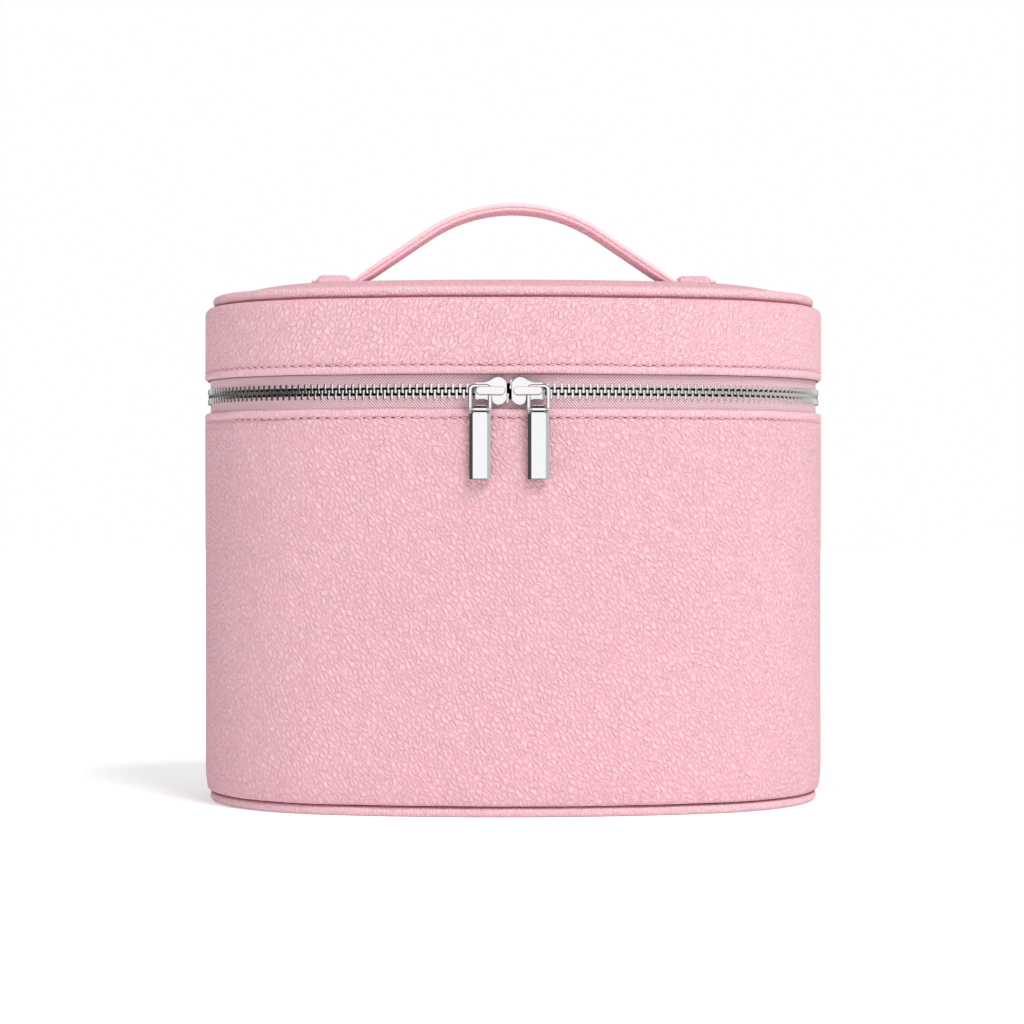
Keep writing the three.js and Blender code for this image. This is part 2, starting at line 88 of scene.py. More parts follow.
# %% [markdown]
# ## The oval
#
# Four arcs that meet smoothly make the plan: a long bow in front and behind, and a round end on each side.
# A distance along the outer face, measured from the middle of the front, names any place on it. Insets keep
# the arcs' centres, so a lining, a board and the leather stay parallel. The same distance later serves as
# the first texture coordinate, in metres, which keeps grain and weave at their real scale.

# %% Plan of the oval, read from the model
wall_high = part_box("case_wall")[1]
HALF_WIDTH = wall_high.x
LONG_OFFSET = joints["right_slider_travel"]["pos_m"][1]
LONG_RADIUS = LONG_OFFSET + wall_high.y
END_RADIUS = (LONG_RADIUS**2 - HALF_WIDTH**2 - LONG_OFFSET**2) / (2 * (LONG_RADIUS - HALF_WIDTH))
END_OFFSET = HALF_WIDTH - END_RADIUS
LONG_ANGLE = math.atan2(END_OFFSET, LONG_OFFSET)
FRONT_HALF = LONG_ANGLE * LONG_RADIUS
END_LENGTH = (math.pi - 2 * LONG_ANGLE) * END_RADIUS
GIRTH = 4 * FRONT_HALF + 2 * END_LENGTH
print("girth of the case, mm:", round(GIRTH / MM, 1))


def oval(distance, inset=0.0):
    """Points and outward normals in plan, at distances from the front's middle towards +X."""
    s = np.mod(np.asarray(distance, float), GIRTH)
    starts = np.cumsum([0, FRONT_HALF, END_LENGTH, 2 * FRONT_HALF, END_LENGTH])
    arcs = [
        (0, LONG_OFFSET, LONG_RADIUS, -math.pi / 2),
        (END_OFFSET, 0, END_RADIUS, -math.pi / 2 + LONG_ANGLE),
        (0, -LONG_OFFSET, LONG_RADIUS, math.pi / 2 - LONG_ANGLE),
        (-END_OFFSET, 0, END_RADIUS, math.pi / 2 + LONG_ANGLE),
        (0, LONG_OFFSET, LONG_RADIUS, -math.pi / 2 - LONG_ANGLE),
    ]
    which = np.searchsorted(starts, s, side="right") - 1
    cx, cy, radius, angle0 = np.array(arcs)[which].T
    angle = angle0 + (s - starts[which]) / radius
    normal = np.stack([np.cos(angle), np.sin(angle)], -1)
    centre = np.stack([cx, cy], -1)
    return centre + normal * (radius - inset)[..., None], normal


# %% [markdown]
# ## From numbers to meshes
#
# Every sheet-like piece is a grid of points. One helper turns such a grid into a mesh, with a texture map
# in metres and all faces turned outwards. A second one carries a profile round the oval. Smooth shading
# with a sharp-edge limit keeps rolled edges soft and folded edges crisp.

# %% Texture map and a seeded random source
CLOTH_MAP = "cloth"
random = np.random.default_rng(7)


# %% From points to a finished piece
def finish_mesh(name, mesh, body, material, sharp=40):
    """Links a mesh as a piece of the object, smooth shaded, riding on a body."""
    mesh.set_sharp_from_angle(angle=math.radians(sharp))
    piece = bpy.data.objects.new(name, mesh)
    bpy.context.scene.collection.objects.link(piece)
    mesh.materials.append(material)
    if body:
        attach(piece, body)
    return piece


def mesh_of(name, points, faces, uvs=None):
    """A mesh from points and faces, with one texture coordinate per face corner if uvs are given."""
    mesh = bpy.data.meshes.new(name)
    mesh.from_pydata(np.asarray(points).tolist(), [], [list(map(int, face)) for face in faces])
    if uvs is not None:
        layer = mesh.uv_layers.new(name=CLOTH_MAP)
        layer.data.foreach_set("uv", np.asarray(uvs, np.float32).ravel())
    edit = bmesh.new()
    edit.from_mesh(mesh)
    bmesh.ops.recalc_face_normals(edit, faces=edit.faces)
    for face in edit.faces:
        face.smooth = True
    edit.to_mesh(mesh)
    edit.free()
    return mesh


# %% Grids of points
def grid(name, points, uv, body, material, loop_u=False, loop_v=False, capped=False, sharp=40):
    """A piece from a grid of points; uv has one more row or column than points where the grid loops.

    Capping closes the two ends that are left open.
    """
    nu, nv = points.shape[:2]
    i, j = np.meshgrid(
        np.arange(nu if loop_u else nu - 1), np.arange(nv if loop_v else nv - 1), indexing="ij"
    )
    i, j = i.ravel(), j.ravel()
    corners = [(i, j), (i + 1, j), (i + 1, j + 1), (i, j + 1)]
    faces = np.stack([(a % nu) * nv + b % nv for a, b in corners], -1)
    uvs = np.stack([uv[a, b] for a, b in corners], 1).reshape(-1, 2)
    faces = faces.tolist()
    if capped and loop_u:
        faces += [list(range(0, nu * nv, nv)), list(range(nv - 1, nu * nv, nv))]
        uvs = np.concatenate([uvs, uv[:nu, 0], uv[:nu, nv - 1]])
    elif capped:
        faces += [list(range(nv)), list(range((nu - 1) * nv, nu * nv))]
        uvs = np.concatenate([uvs, uv[0, :nv], uv[nu - 1, :nv]])
    mesh = mesh_of(name, points.reshape(-1, 3), faces, uvs)
    return finish_mesh(name, mesh, body, material, sharp)


# %% Profiles carried round the oval
BAND_STEP = 1.6 * MM


def along(profile):
    """Length run along a profile, starting at 0."""
    steps = np.hypot(*np.diff(np.asarray(profile), axis=0).T)
    return np.concatenate([[0], np.cumsum(steps)])


def band(name, profile, body, material, span=None, step=BAND_STEP, ripple=None, sharp=40):
    """A closed profile of (inset, height) in metres, carried round the oval, or over a span of it."""
    profile = np.asarray(profile, float)
    whole = span is None
    low, high = (-GIRTH / 2, GIRTH / 2) if whole else span
    count = max(2, round((high - low) / step))
    s = np.linspace(low, high, count + 1)
    if whole:
        s = s[:-1]
    inset = np.repeat(profile[None, :, 0], len(s), 0)
    height = np.repeat(profile[None, :, 1], len(s), 0)
    if ripple:
        out, up = ripple(s[:, None], height)
        inset, height = inset - out, height + up
    flat, normal = oval(s)
    xy = flat[:, None, :] - normal[:, None, :] * inset[..., None]
    points = np.concatenate([xy, height[..., None]], -1)
    runs = along(np.concatenate([profile, profile[:1]]))
    s_edges = np.append(s, high) if whole else s
    uv = np.stack(np.meshgrid(s_edges, runs, indexing="ij"), -1)
    return grid(name, points, uv, body, material, whole, True, not whole, sharp)


def turn(inset, height, radius, start, end, steps=6):
    """Points of an arc in a profile; angles in degrees, 180 facing outwards and 90 upwards."""
    angles = np.radians(np.linspace(start, end, steps + 1))
    return [(inset + radius * math.cos(a), height + radius * math.sin(a)) for a in angles]


def straight(start, end, pieces):
    """Evenly spaced points from start to end, without the first one."""
    t = np.linspace(0, 1, pieces + 1)[1:, None]
    return [tuple(p) for p in np.array(start) * (1 - t) + np.array(end) * t]


print("steps round the oval:", round(GIRTH / BAND_STEP))


# %% Copies of a small shape
def copies(name, template, places, body, material, sharp=40):
    """Many copies of one small shape in one mesh; each place is an origin and three axes."""
    points, faces = template
    origins, axes = places
    spread = np.einsum("kc,nca->nka", points, axes) + origins[:, None, :]
    shifts = np.arange(len(origins)) * len(points)
    every = [[v + shift for v in face] for shift in shifts.tolist() for face in faces]
    return finish_mesh(name, mesh_of(name, spread.reshape(-1, 3), every), body, material, sharp)


# %% [markdown]
# ## Shared shader effects
#
# Three effects appear in several finishes, so each is a node group with named sockets. Pebbled grain is a
# cell pattern whose borders sink in, drawn on warped coordinates so that it flows. The weave is two sets of
# threads that cross, with a slant that turns a plain weave into a twill. Handling marks are the faint
# clouding that keeps polished metal from looking perfect.


# %% Node helpers
def node(tree, kind, inputs=None, **settings):
    """A shader node; an input is a number, a colour or another node's output."""
    made = tree.nodes.new("ShaderNode" + kind)
    for key, value in settings.items():
        setattr(made, key, value)
    for key, value in (inputs or {}).items():
        socket = made.inputs[key]
        if isinstance(value, bpy.types.NodeSocket):
            tree.links.new(value, socket)
        else:
            socket.default_value = value
    return made


def maths(tree, operation, a, b=0.0):
    return node(tree, "Math", {0: a, 1: b}, operation=operation).outputs[0]


def mix_colour(tree, factor, a, b, blend="MIX"):
    made = node(tree, "Mix", {0: factor, 6: a, 7: b}, data_type="RGBA", blend_type=blend)
    return made.outputs[2]


def remap(tree, value, low, high, to_low=0.0, to_high=1.0, smooth=True):
    inputs = {"Value": value, 1: low, 2: high, 3: to_low, 4: to_high}
    kind = "SMOOTHSTEP" if smooth else "LINEAR"
    return node(tree, "MapRange", inputs, interpolation_type=kind).outputs[0]


def group(name, inputs, outputs):
    """An empty node group with named sockets; inputs give a type and a first value."""
    tree = bpy.data.node_groups.new(name, "ShaderNodeTree")
    for label, (kind, value) in inputs.items():
        socket = tree.interface.new_socket(label, in_out="INPUT", socket_type="NodeSocket" + kind)
        if value is not None:
            socket.default_value = value
    for label in outputs:
        tree.interface.new_socket(label, in_out="OUTPUT", socket_type="NodeSocketFloat")
    return tree, tree.nodes.new("NodeGroupInput").outputs, tree.nodes.new("NodeGroupOutput").inputs


# %% Pebbled grain
def make_pebbled_grain():
    tree, given, result = group(
        "pebbled_grain",
        {
            "Vector": ("Vector", None),
            "Cell Size": ("Float", 2.6 * MM),
            "Slant": ("Float", 0.6),
            "Stretch": ("Float", 1.3),
            "Flow": ("Float", 0.9),
        },
        ["Height", "Tone"],
    )
    per_cell = maths(tree, "DIVIDE", 1.0, given["Cell Size"])
    cells = node(tree, "VectorMath", {0: given["Vector"], "Scale": per_cell}, operation="SCALE")
    swirl = node(tree, "TexNoise", {"Vector": cells.outputs[0], "Scale": 0.16, "Detail": 2.0})
    sway = node(tree, "VectorMath", {0: swirl.outputs["Color"], 1: (0.5, 0.5, 0.5)}, operation="SUBTRACT")
    swayed = node(tree, "VectorMath", {0: sway.outputs[0], "Scale": given["Flow"]}, operation="SCALE")
    crinkle = node(tree, "TexNoise", {"Vector": cells.outputs[0], "Scale": 1.1, "Detail": 2.0})
    jitter = node(tree, "VectorMath", {0: crinkle.outputs["Color"], "Scale": 0.75}, operation="SCALE")
    warped = node(tree, "VectorMath", {0: cells.outputs[0], 1: swayed.outputs[0]}, operation="ADD")
    warped = node(tree, "VectorMath", {0: warped.outputs[0], 1: jitter.outputs[0]}, operation="ADD")
    turned = node(
        tree,
        "VectorRotate",
        {"Vector": warped.outputs[0], "Angle": given["Slant"]},
        rotation_type="Z_AXIS",
    )
    squeeze = node(
        tree,
        "CombineXYZ",
        {0: 1.0, 1: maths(tree, "DIVIDE", 1.0, given["Stretch"]), 2: 0.0},
    )
    field = node(tree, "VectorMath", {0: turned.outputs[0], 1: squeeze.outputs[0]}, operation="MULTIPLY")
    edge = node(
        tree,
        "TexVoronoi",
        {"Vector": field.outputs[0], "Scale": 1.0},
        voronoi_dimensions="2D",
        feature="DISTANCE_TO_EDGE",
    )
    fine = node(
        tree,
        "TexVoronoi",
        {"Vector": field.outputs[0], "Scale": 2.3},
        voronoi_dimensions="2D",
        feature="DISTANCE_TO_EDGE",
    )
    cell = node(tree, "TexVoronoi", {"Vector": field.outputs[0], "Scale": 1.0}, voronoi_dimensions="2D")
    pebbles = remap(tree, edge.outputs["Distance"], -0.08, 0.5)
    small = remap(tree, fine.outputs["Distance"], -0.1, 0.5)
    both = node(tree, "Mix", {0: 0.3, 2: pebbles, 3: small})
    fade = node(tree, "TexNoise", {"Vector": field.outputs[0], "Scale": 1.7, "Detail": 2.0})
    crumple = maths(tree, "MULTIPLY", maths(tree, "SUBTRACT", fade.outputs[0], 0.5), 0.7)
    tree.links.new(maths(tree, "ADD", both.outputs[0], crumple), result["Height"])
    split = node(tree, "SeparateColor", {0: cell.outputs["Color"]})
    tree.links.new(split.outputs[0], result["Tone"])
    return tree


GRAIN = make_pebbled_grain()
print("pebbled grain, nodes:", len(GRAIN.nodes))


# %% Woven threads
def make_woven_threads():
    tree, given, result = group(
        "woven_threads",
        {"Vector": ("Vector", None), "Thread": ("Float", 0.5 * MM), "Slant": ("Float", 1.0)},
        ["Height", "Tone"],
    )
    split = node(tree, "SeparateXYZ", {0: given["Vector"]})
    warp = maths(tree, "DIVIDE", split.outputs[0], given["Thread"])
    weft = maths(tree, "DIVIDE", split.outputs[1], given["Thread"])
    slanted = maths(tree, "ADD", warp, maths(tree, "MULTIPLY", weft, given["Slant"]))
    rib = maths(tree, "ABSOLUTE", maths(tree, "SINE", maths(tree, "MULTIPLY", slanted, math.pi / 2)))
    pick = maths(tree, "ABSOLUTE", maths(tree, "SINE", maths(tree, "MULTIPLY", weft, math.pi)))
    wear = node(tree, "TexNoise", {"Vector": given["Vector"], "Scale": 900.0, "Detail": 2.0})
    woven = maths(tree, "ADD", maths(tree, "MULTIPLY", rib, 0.7), maths(tree, "MULTIPLY", pick, 0.3))
    fuzz = maths(tree, "MULTIPLY", wear.outputs[0], 0.25)
    tree.links.new(maths(tree, "ADD", woven, fuzz), result["Height"])
    tree.links.new(wear.outputs[0], result["Tone"])
    return tree


WEAVE = make_woven_threads()
print("woven threads, nodes:", len(WEAVE.nodes))


# %% Handling marks
def make_handling_marks():
    tree, given, result = group(
        "handling_marks",
        {"Vector": ("Vector", None), "Clean": ("Float", 0.06), "Smudged": ("Float", 0.16)},
        ["Roughness", "Height"],
    )
    cloud = node(tree, "TexNoise", {"Vector": given["Vector"], "Scale": 260.0, "Detail": 4.0})
    stretch = node(tree, "Mapping", {"Vector": given["Vector"], "Scale": (2600.0, 2600.0, 120.0)})
    brushed = node(tree, "TexNoise", {"Vector": stretch.outputs[0], "Scale": 1.0, "Detail": 3.0})
    amount = remap(tree, cloud.outputs[0], 0.35, 0.75)
    spread = node(tree, "Mix", {0: amount, 2: given["Clean"], 3: given["Smudged"]})
    tree.links.new(spread.outputs[0], result["Roughness"])
    tree.links.new(brushed.outputs[0], result["Height"])
    return tree


MARKS = make_handling_marks()
print("handling marks, nodes:", len(MARKS.nodes))

# %% [markdown]
# ## Leather-cloth
#
# Coated cloth pressed with a pebbled grain. The tops of the pebbles are a paler pink with a soft gloss, the
# creases between them are deeper and duller. Rolled edges stretch the coating, so the grain there is finer
# and runs across the roll; one function makes each variety with its own cell size and slant. The copies for
# the lid, its padded top and the strap are the same leather in paler pinks: painted light.


# %% Material helpers
def principled(name):
    """A material with a Principled shader; returns the material, its tree and the shader's inputs."""
    material = bpy.data.materials.new(name)
    material.use_nodes = True
    tree = material.node_tree
    return material, tree, tree.nodes["Principled BSDF"].inputs


def cloth_map(tree):
    return node(tree, "UVMap", uv_map=CLOTH_MAP).outputs[0]


def place_in(tree):
    return node(tree, "TexCoord").outputs["Object"]


def use(tree, effect, **inputs):
    """A shared effect placed in a material; underscores in names stand for spaces."""
    made = tree.nodes.new("ShaderNodeGroup")
    made.node_tree = effect
    for key, value in inputs.items():
        socket = made.inputs[key.replace("_", " ")]
        if isinstance(value, bpy.types.NodeSocket):
            tree.links.new(value, socket)
        else:
            socket.default_value = value
    return made.outputs


# %% Leather-cloth finishes
def leather_cloth(name, top, crease, cell, slant, stretch, depth, gloss=0.42):
    material, tree, shader = principled(name)
    where = cloth_map(tree)
    grain = use(tree, GRAIN, Vector=where, Cell_Size=cell, Slant=slant, Stretch=stretch)
    blotch = node(tree, "TexNoise", {"Vector": where, "Scale": 22.0, "Detail": 3.0})
    pore = node(tree, "TexNoise", {"Vector": where, "Scale": 4200.0, "Detail": 2.0})
    shade = remap(tree, blotch.outputs[0], 0.3, 0.7, 0.98, 1.0)
    shade = maths(tree, "ADD", shade, maths(tree, "MULTIPLY", grain["Tone"], 0.05))
    colour = mix_colour(tree, grain["Height"], crease, top)
    tinted = node(tree, "VectorMath", {0: colour, "Scale": shade}, operation="SCALE")
    tree.links.new(tinted.outputs[0], shader["Base Color"])
    dull = remap(tree, grain["Height"], 0.0, 1.0, gloss + 0.22, gloss, smooth=False)
    tree.links.new(dull, shader["Roughness"])
    relief = maths(tree, "ADD", grain["Height"], maths(tree, "MULTIPLY", pore.outputs[0], 0.12))
    bump = node(tree, "Bump", {"Height": relief, "Distance": depth, "Strength": 1.0})
    tree.links.new(bump.outputs[0], shader["Normal"])
    shader["Specular IOR Level"].default_value = 0.35
    return material


PEBBLE = 1.7 * MM
PEBBLE_DEPTH = 0.74 * MM
FINE_PEBBLE = 1.2 * MM
PINK = (0.825, 0.585, 0.64, 1)
PINK_CREASE = (0.795, 0.365, 0.425, 1)
# Painted light: the lid's pinks are the wall's pinks made paler, so the lid shows brighter than the wall.
LID_PINK_PAINTED_LIGHT = (0.865, 0.61, 0.665, 1)
LID_CREASE_PAINTED_LIGHT = (0.84, 0.40, 0.46, 1)
EDGE_PINK = (0.83, 0.61, 0.66, 1)
EDGE_CREASE = (0.79, 0.40, 0.455, 1)
# Painted light: the strap's pinks are paler still, to lift its downward-facing sides out of their shade.
STRAP_PINK_PAINTED_LIGHT = (0.95, 0.66, 0.71, 1)
STRAP_CREASE_PAINTED_LIGHT = (0.92, 0.585, 0.64, 1)
wall_leather = leather_cloth(
    "pebbled_leather", PINK, PINK_CREASE, PEBBLE, slant=0.62, stretch=1.75, depth=PEBBLE_DEPTH
)
# The lid's wall and its padded top wear the paler pinks, as painted light.
lid_leather_painted_light = leather_cloth(
    "lid_leather_painted_light", LID_PINK_PAINTED_LIGHT, LID_CREASE_PAINTED_LIGHT, PEBBLE, slant=0.5, stretch=1.7, depth=PEBBLE_DEPTH
)
top_leather = leather_cloth(
    "top_leather", LID_PINK_PAINTED_LIGHT, LID_CREASE_PAINTED_LIGHT, PEBBLE, slant=1.9, stretch=1.4, depth=PEBBLE_DEPTH
)
edge_leather = leather_cloth(
    "rolled_leather", EDGE_PINK, EDGE_CREASE, FINE_PEBBLE, slant=0.25, stretch=2.2, depth=0.4 * MM, gloss=0.4
)
# The strap wears its own paler pinks, as painted light.
strap_leather_painted_light = leather_cloth(
    "strap_leather_painted_light", STRAP_PINK_PAINTED_LIGHT, STRAP_CREASE_PAINTED_LIGHT, FINE_PEBBLE, slant=0.3, stretch=1.8, depth=0.18 * MM, gloss=0.4
)
leathers = (wall_leather, lid_leather_painted_light, top_leather, edge_leather, strap_leather_painted_light)
print("leathers:", [leather.name for leather in leathers])

# %% [markdown]
# ## Cloth, thread and stiffener
#
# The zip tape is a narrow twill in a dustier pink. The lining is a fine plain weave, the brush band a
# ribbed elastic, and the thread a glossy twisted yarn. The board and the foam never show on a closed case,
# but they still get the colour and texture of fibreboard and cell foam.


# %% Cloth finishes
def woven(name, light, dark, thread, slant, depth, rough=0.85, sheen=0.25):
    material, tree, shader = principled(name)
    threads = use(tree, WEAVE, Vector=cloth_map(tree), Thread=thread, Slant=slant)
    facing = remap(tree, threads["Height"], 0.15, 0.95)
    tree.links.new(mix_colour(tree, facing, dark, light), shader["Base Color"])
    bump = node(tree, "Bump", {"Height": threads["Height"], "Distance": depth, "Strength": 1.0})
    tree.links.new(bump.outputs[0], shader["Normal"])
    shader["Roughness"].default_value = rough
    shader["Sheen Weight"].default_value = sheen
    return material


def grainy(name, light, dark, scale, depth, rough):
    """A dull solid with fine clumps, for board, foam, thread and the painted shade in seams."""
    material, tree, shader = principled(name)
    clumps = node(tree, "TexNoise", {"Vector": place_in(tree), "Scale": scale, "Detail": 6.0})
    tree.links.new(mix_colour(tree, clumps.outputs[0], dark, light), shader["Base Color"])
    bump = node(tree, "Bump", {"Height": clumps.outputs[0], "Distance": depth, "Strength": 0.6})
    tree.links.new(bump.outputs[0], shader["Normal"])
    shader["Roughness"].default_value = rough
    return material


tape_cloth = woven(
    "zip_tape_twill", (0.82, 0.55, 0.60, 1), (0.34, 0.18, 0.22, 1), 0.62 * MM, slant=1.0, depth=0.3 * MM
)
lining_cloth = woven("lining_weave", (0.80, 0.58, 0.62, 1), (0.58, 0.36, 0.41, 1), 0.45 * MM, 0.0, 0.07 * MM)
elastic_rib = woven("ribbed_elastic", (0.72, 0.42, 0.48, 1), (0.48, 0.23, 0.29, 1), 1.1 * MM, 0.0, 0.2 * MM)
thread_yarn = grainy("thread_yarn", (0.86, 0.52, 0.58, 1), (0.72, 0.36, 0.43, 1), 2400.0, 0.05 * MM, 0.5)
# Painted shade: a dark solid laid in the seam valleys, in the grooves beside the rolls and under the lid's
# hem.
seam_painted_shade = grainy("seam_painted_shade", (0.40, 0.13, 0.17, 1), (0.28, 0.07, 0.10, 1), 900.0, 0.05 * MM, 0.9)
fibreboard = grainy("fibreboard", (0.56, 0.47, 0.35, 1), (0.40, 0.32, 0.22, 1), 900.0, 0.15 * MM, 0.95)
cell_foam = grainy("cell_foam", (0.88, 0.85, 0.76, 1), (0.70, 0.66, 0.55, 1), 1600.0, 0.4 * MM, 0.98)
print("cloths and fillers:", len(bpy.data.materials) - len(leathers))


# %% [markdown]
# ## Metal and glass
#
# The pulls and sliders are mirror-plated, so their look is mostly what stands round them; the finish only
# adds faint smudges. The teeth are duller and a touch warmer. The mirror is silvered glass.


# %% Metal finishes
def plated(name, colour, clean, smudged, polish):
    material, tree, shader = principled(name)
    marks = use(tree, MARKS, Vector=place_in(tree), Clean=clean, Smudged=smudged)
    shader["Base Color"].default_value = colour
    shader["Metallic"].default_value = 1.0
    tree.links.new(marks["Roughness"], shader["Roughness"])
    bump = node(tree, "Bump", {"Height": marks["Height"], "Distance": polish, "Strength": 1.0})
    tree.links.new(bump.outputs[0], shader["Normal"])
    return material


chrome = plated("chrome_plate", (0.93, 0.93, 0.935, 1), 0.04, 0.1, 0.0008 * MM)
tooth_metal = plated("zip_tooth_metal", (0.95, 0.94, 0.93, 1), 0.14, 0.26, 0.001 * MM)
silvered = plated("silvered_glass", (0.92, 0.94, 0.94, 1), 0.01, 0.04, 0.0)
print("finishes:", len(bpy.data.materials))

# %% [markdown]
# ## Heights and layers
#
# Heights and wall layers are read from the model's own pieces, so a change there carries through to here.
# A soft ripple, a few tenths of a millimetre, keeps the long walls from looking machined.


# %% Levels read from the model
def low_of(piece):
    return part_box(piece)[0].z


def high_of(piece):
    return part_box(piece)[1].z


GAP = 0.3 * MM
SKIN = 1.2 * MM
CASE_TOP = high_of("case_hem")
CASE_SEAM = low_of("case_hem")
LID_BOTTOM = low_of("lid_hem")
LID_SEAM = high_of("lid_hem")
ZIP_HEIGHT = (CASE_TOP + LID_BOTTOM) / 2
SHOULDER = low_of("lid_top_rolled_edge")
WALL_FOOT = low_of("case_wall")
LINING_OUT = HALF_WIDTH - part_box("case_wall_lining")[1].x
LINING_IN = LINING_OUT + 0.8 * MM
TAPE_OUT = HALF_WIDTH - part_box("lower_zip_tape")[1].x
TAPE_IN = TAPE_OUT + 0.65 * MM


def soft_ripple(out_by, up_by, seed):
    """A ripple for band(): slow waves along the girth, summed from a few seeded sines."""
    waves = np.random.default_rng(seed)
    turns = waves.integers(3, 23, 6)
    phases = waves.uniform(0, 2 * math.pi, (2, 6))
    tilts = waves.uniform(-50, 50, 6)

    def ripple(s, height):
        around = 2 * math.pi * s[..., None] / GIRTH * turns
        lean = height[..., None] * tilts
        out = np.sin(around + lean + phases[0]).mean(-1) * out_by
        up = np.sin(around + phases[1]).mean(-1) * up_by
        return out, np.broadcast_to(up, height.shape)

    return ripple


print("zip height, mm:", round(ZIP_HEIGHT / MM, 2), " lining inset, mm:", round(LINING_OUT / MM, 2))

# %% [markdown]
# ## Walls and folded hems
#
# Each wall is one sheet: it turns in under a rounded edge at one end and is stitched down at the other,
# where a folded hem begins. The stitching pulls a narrow valley between sheet and hem. The valley is real
# geometry: both edges roll in, and a dark strip of painted shade lies at its bottom, so the gaps between
# stitches read as shaded needle holes.

# %% Walls
TURN = 3 * MM
FOOT_TURN = 1.5 * MM
HEM_IN = 1.65 * MM


def draw_in(profile, edge, reach, by):
    """The profile leaning in over its last stretch before an edge, like a wall pulled over its foot."""
    leaned = []
    for inset, z in profile:
        near = max(0.0, 1 - abs(z - edge) / reach)
        leaned.append((inset + by * near**2.4, z))
    return leaned


def wall_profile(seam, edge, up, radius=TURN):
    """A wall from its seam to its rounded edge; up is 1 if the edge is above the seam."""
    mid = edge - up * radius
    outer = [(0.85 * MM, seam + up * 0.3 * MM), (0.4 * MM, seam + up * 0.36 * MM)]
    outer += [(0.12 * MM, seam + up * 0.75 * MM), (0.0, seam + up * 1.6 * MM)]
    outer += straight((0.0, seam + up * 1.6 * MM), (0.0, mid), max(8, round(abs(mid - seam) / (5 * MM))))
    corner = turn(radius, mid, radius, 180, 180 - up * 90, 6)[1:]
    inner = turn(radius, mid, max(radius - SKIN, 0.1 * MM), 180 - up * 90, 180, 4)
    return outer + corner + inner + [(SKIN, seam + up * 0.3 * MM)]


def hem_profile(seam, lip, up):
    """A folded hem from its seam to its lip; up is 1 if the lip is above the seam."""
    points = [(0.85, 0.0), (0.42, 0.03), (0.02, 0.35), (-0.2, 1.1), (-0.24, 1.9), (-0.12, 2.55)]
    points += [(0.2, 2.95), (0.62, 3.1), (1.1, 3.02), (1.5, 2.7)]
    stretch = abs(lip - seam) / 3.1
    folded = [(inset * MM, seam + up * z * stretch) for inset, z in points]
    return folded + [(HEM_IN, seam + up * 2.2 * MM), (HEM_IN, seam)]


def seam_profile(seam, up):
    low, high = seam - 0.1 * MM, seam + up * 0.4 * MM
    return [(0.6 * MM, low), (0.6 * MM, high), (1.1 * MM, high), (1.1 * MM, low)]


case_wall = band(
    "case_wall_leather",
    draw_in(wall_profile(CASE_SEAM, WALL_FOOT, -1, FOOT_TURN), WALL_FOOT, 10 * MM, 1.1 * MM),
    "case",
    wall_leather,
    ripple=soft_ripple(0.35 * MM, 0.1 * MM, 3),
)
case_hem = band(
    "case_hem_leather",
    hem_profile(CASE_SEAM, CASE_TOP, 1),
    "case",
    edge_leather,
    ripple=soft_ripple(0.1 * MM, 0.15 * MM, 4),
)
# The lid's wall wears the leather in its paler, painted-light pinks.
lid_wall = band(
    "lid_wall_leather",
    wall_profile(LID_SEAM, high_of("lid_wall"), 1),
    "lid",
    lid_leather_painted_light,
    ripple=soft_ripple(0.3 * MM, 0.1 * MM, 5),
)
lid_hem = band(
    "lid_hem_leather",
    hem_profile(LID_SEAM, LID_BOTTOM, -1),
    "lid",
    edge_leather,
    ripple=soft_ripple(0.1 * MM, 0.15 * MM, 6),
)
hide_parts("case_wall")
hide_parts("case_hem")
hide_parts("lid_wall")
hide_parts("lid_hem")
wall_heights = (CASE_SEAM - WALL_FOOT, high_of("lid_wall") - LID_SEAM)
print("wall heights, mm:", [round(height / MM, 1) for height in wall_heights])

# %% Painted shade in the seams, and a painted shadow beneath the lid's hem
band("case_seam_painted_shade", seam_profile(CASE_SEAM, -1), "case", seam_painted_shade)
band("lid_seam_painted_shade", seam_profile(LID_SEAM, 1), "lid", seam_painted_shade)
# Painted shadow: a dark strip just under the lid hem's lip, where the lip shades the tape.
hem_shadow_strip = [(0.95, -0.35), (0.95, 0.15), (1.6, 0.15), (1.6, -0.35)]
band("lid_hem_painted_shadow", [(x * MM, LID_BOTTOM + z * MM) for x, z in hem_shadow_strip], "lid", seam_painted_shade)
print("seams at, mm:", round(CASE_SEAM / MM, 1), round(LID_SEAM / MM, 1))

# %% [markdown]
# ## Stitches
#
# A stitch is a short length of thread that comes up, lies on the leather and dives again. One little spindle
# shape, with a hint of its twist, is copied round the seam at the machine's stitch length.

# %% Stitches
STITCH_PITCH = 3.6 * MM
STITCH_LENGTH = 2.3 * MM
STITCH_RADIUS = 0.3 * MM


def stitch_template(length=STITCH_LENGTH, radius=STITCH_RADIUS):
    """A spindle along the first axis that arches out along the second."""
    rings, sides = 9, 8
    points = []
    for t in np.linspace(-1, 1, rings):
        thick = radius * max(0.25, (1 - abs(t) ** 4)) ** 0.5
        lift = radius * (0.9 - 1.3 * t * t)
        for k in range(sides):
            angle = 2 * math.pi * k / sides + t * 2.2
            bulge = thick * (1 + 0.16 * math.cos(2 * angle + 5 * t))
            points.append((t * length / 2, lift + bulge * math.cos(angle), bulge * math.sin(angle)))
    faces = [
        (at + k, at + (k + 1) % sides, at + sides + (k + 1) % sides, at + sides + k)
        for at in range(0, (rings - 1) * sides, sides)
        for k in range(sides)
    ]
    faces += [tuple(range(sides)), tuple(range((rings - 1) * sides, rings * sides))]
    return np.array(points), faces


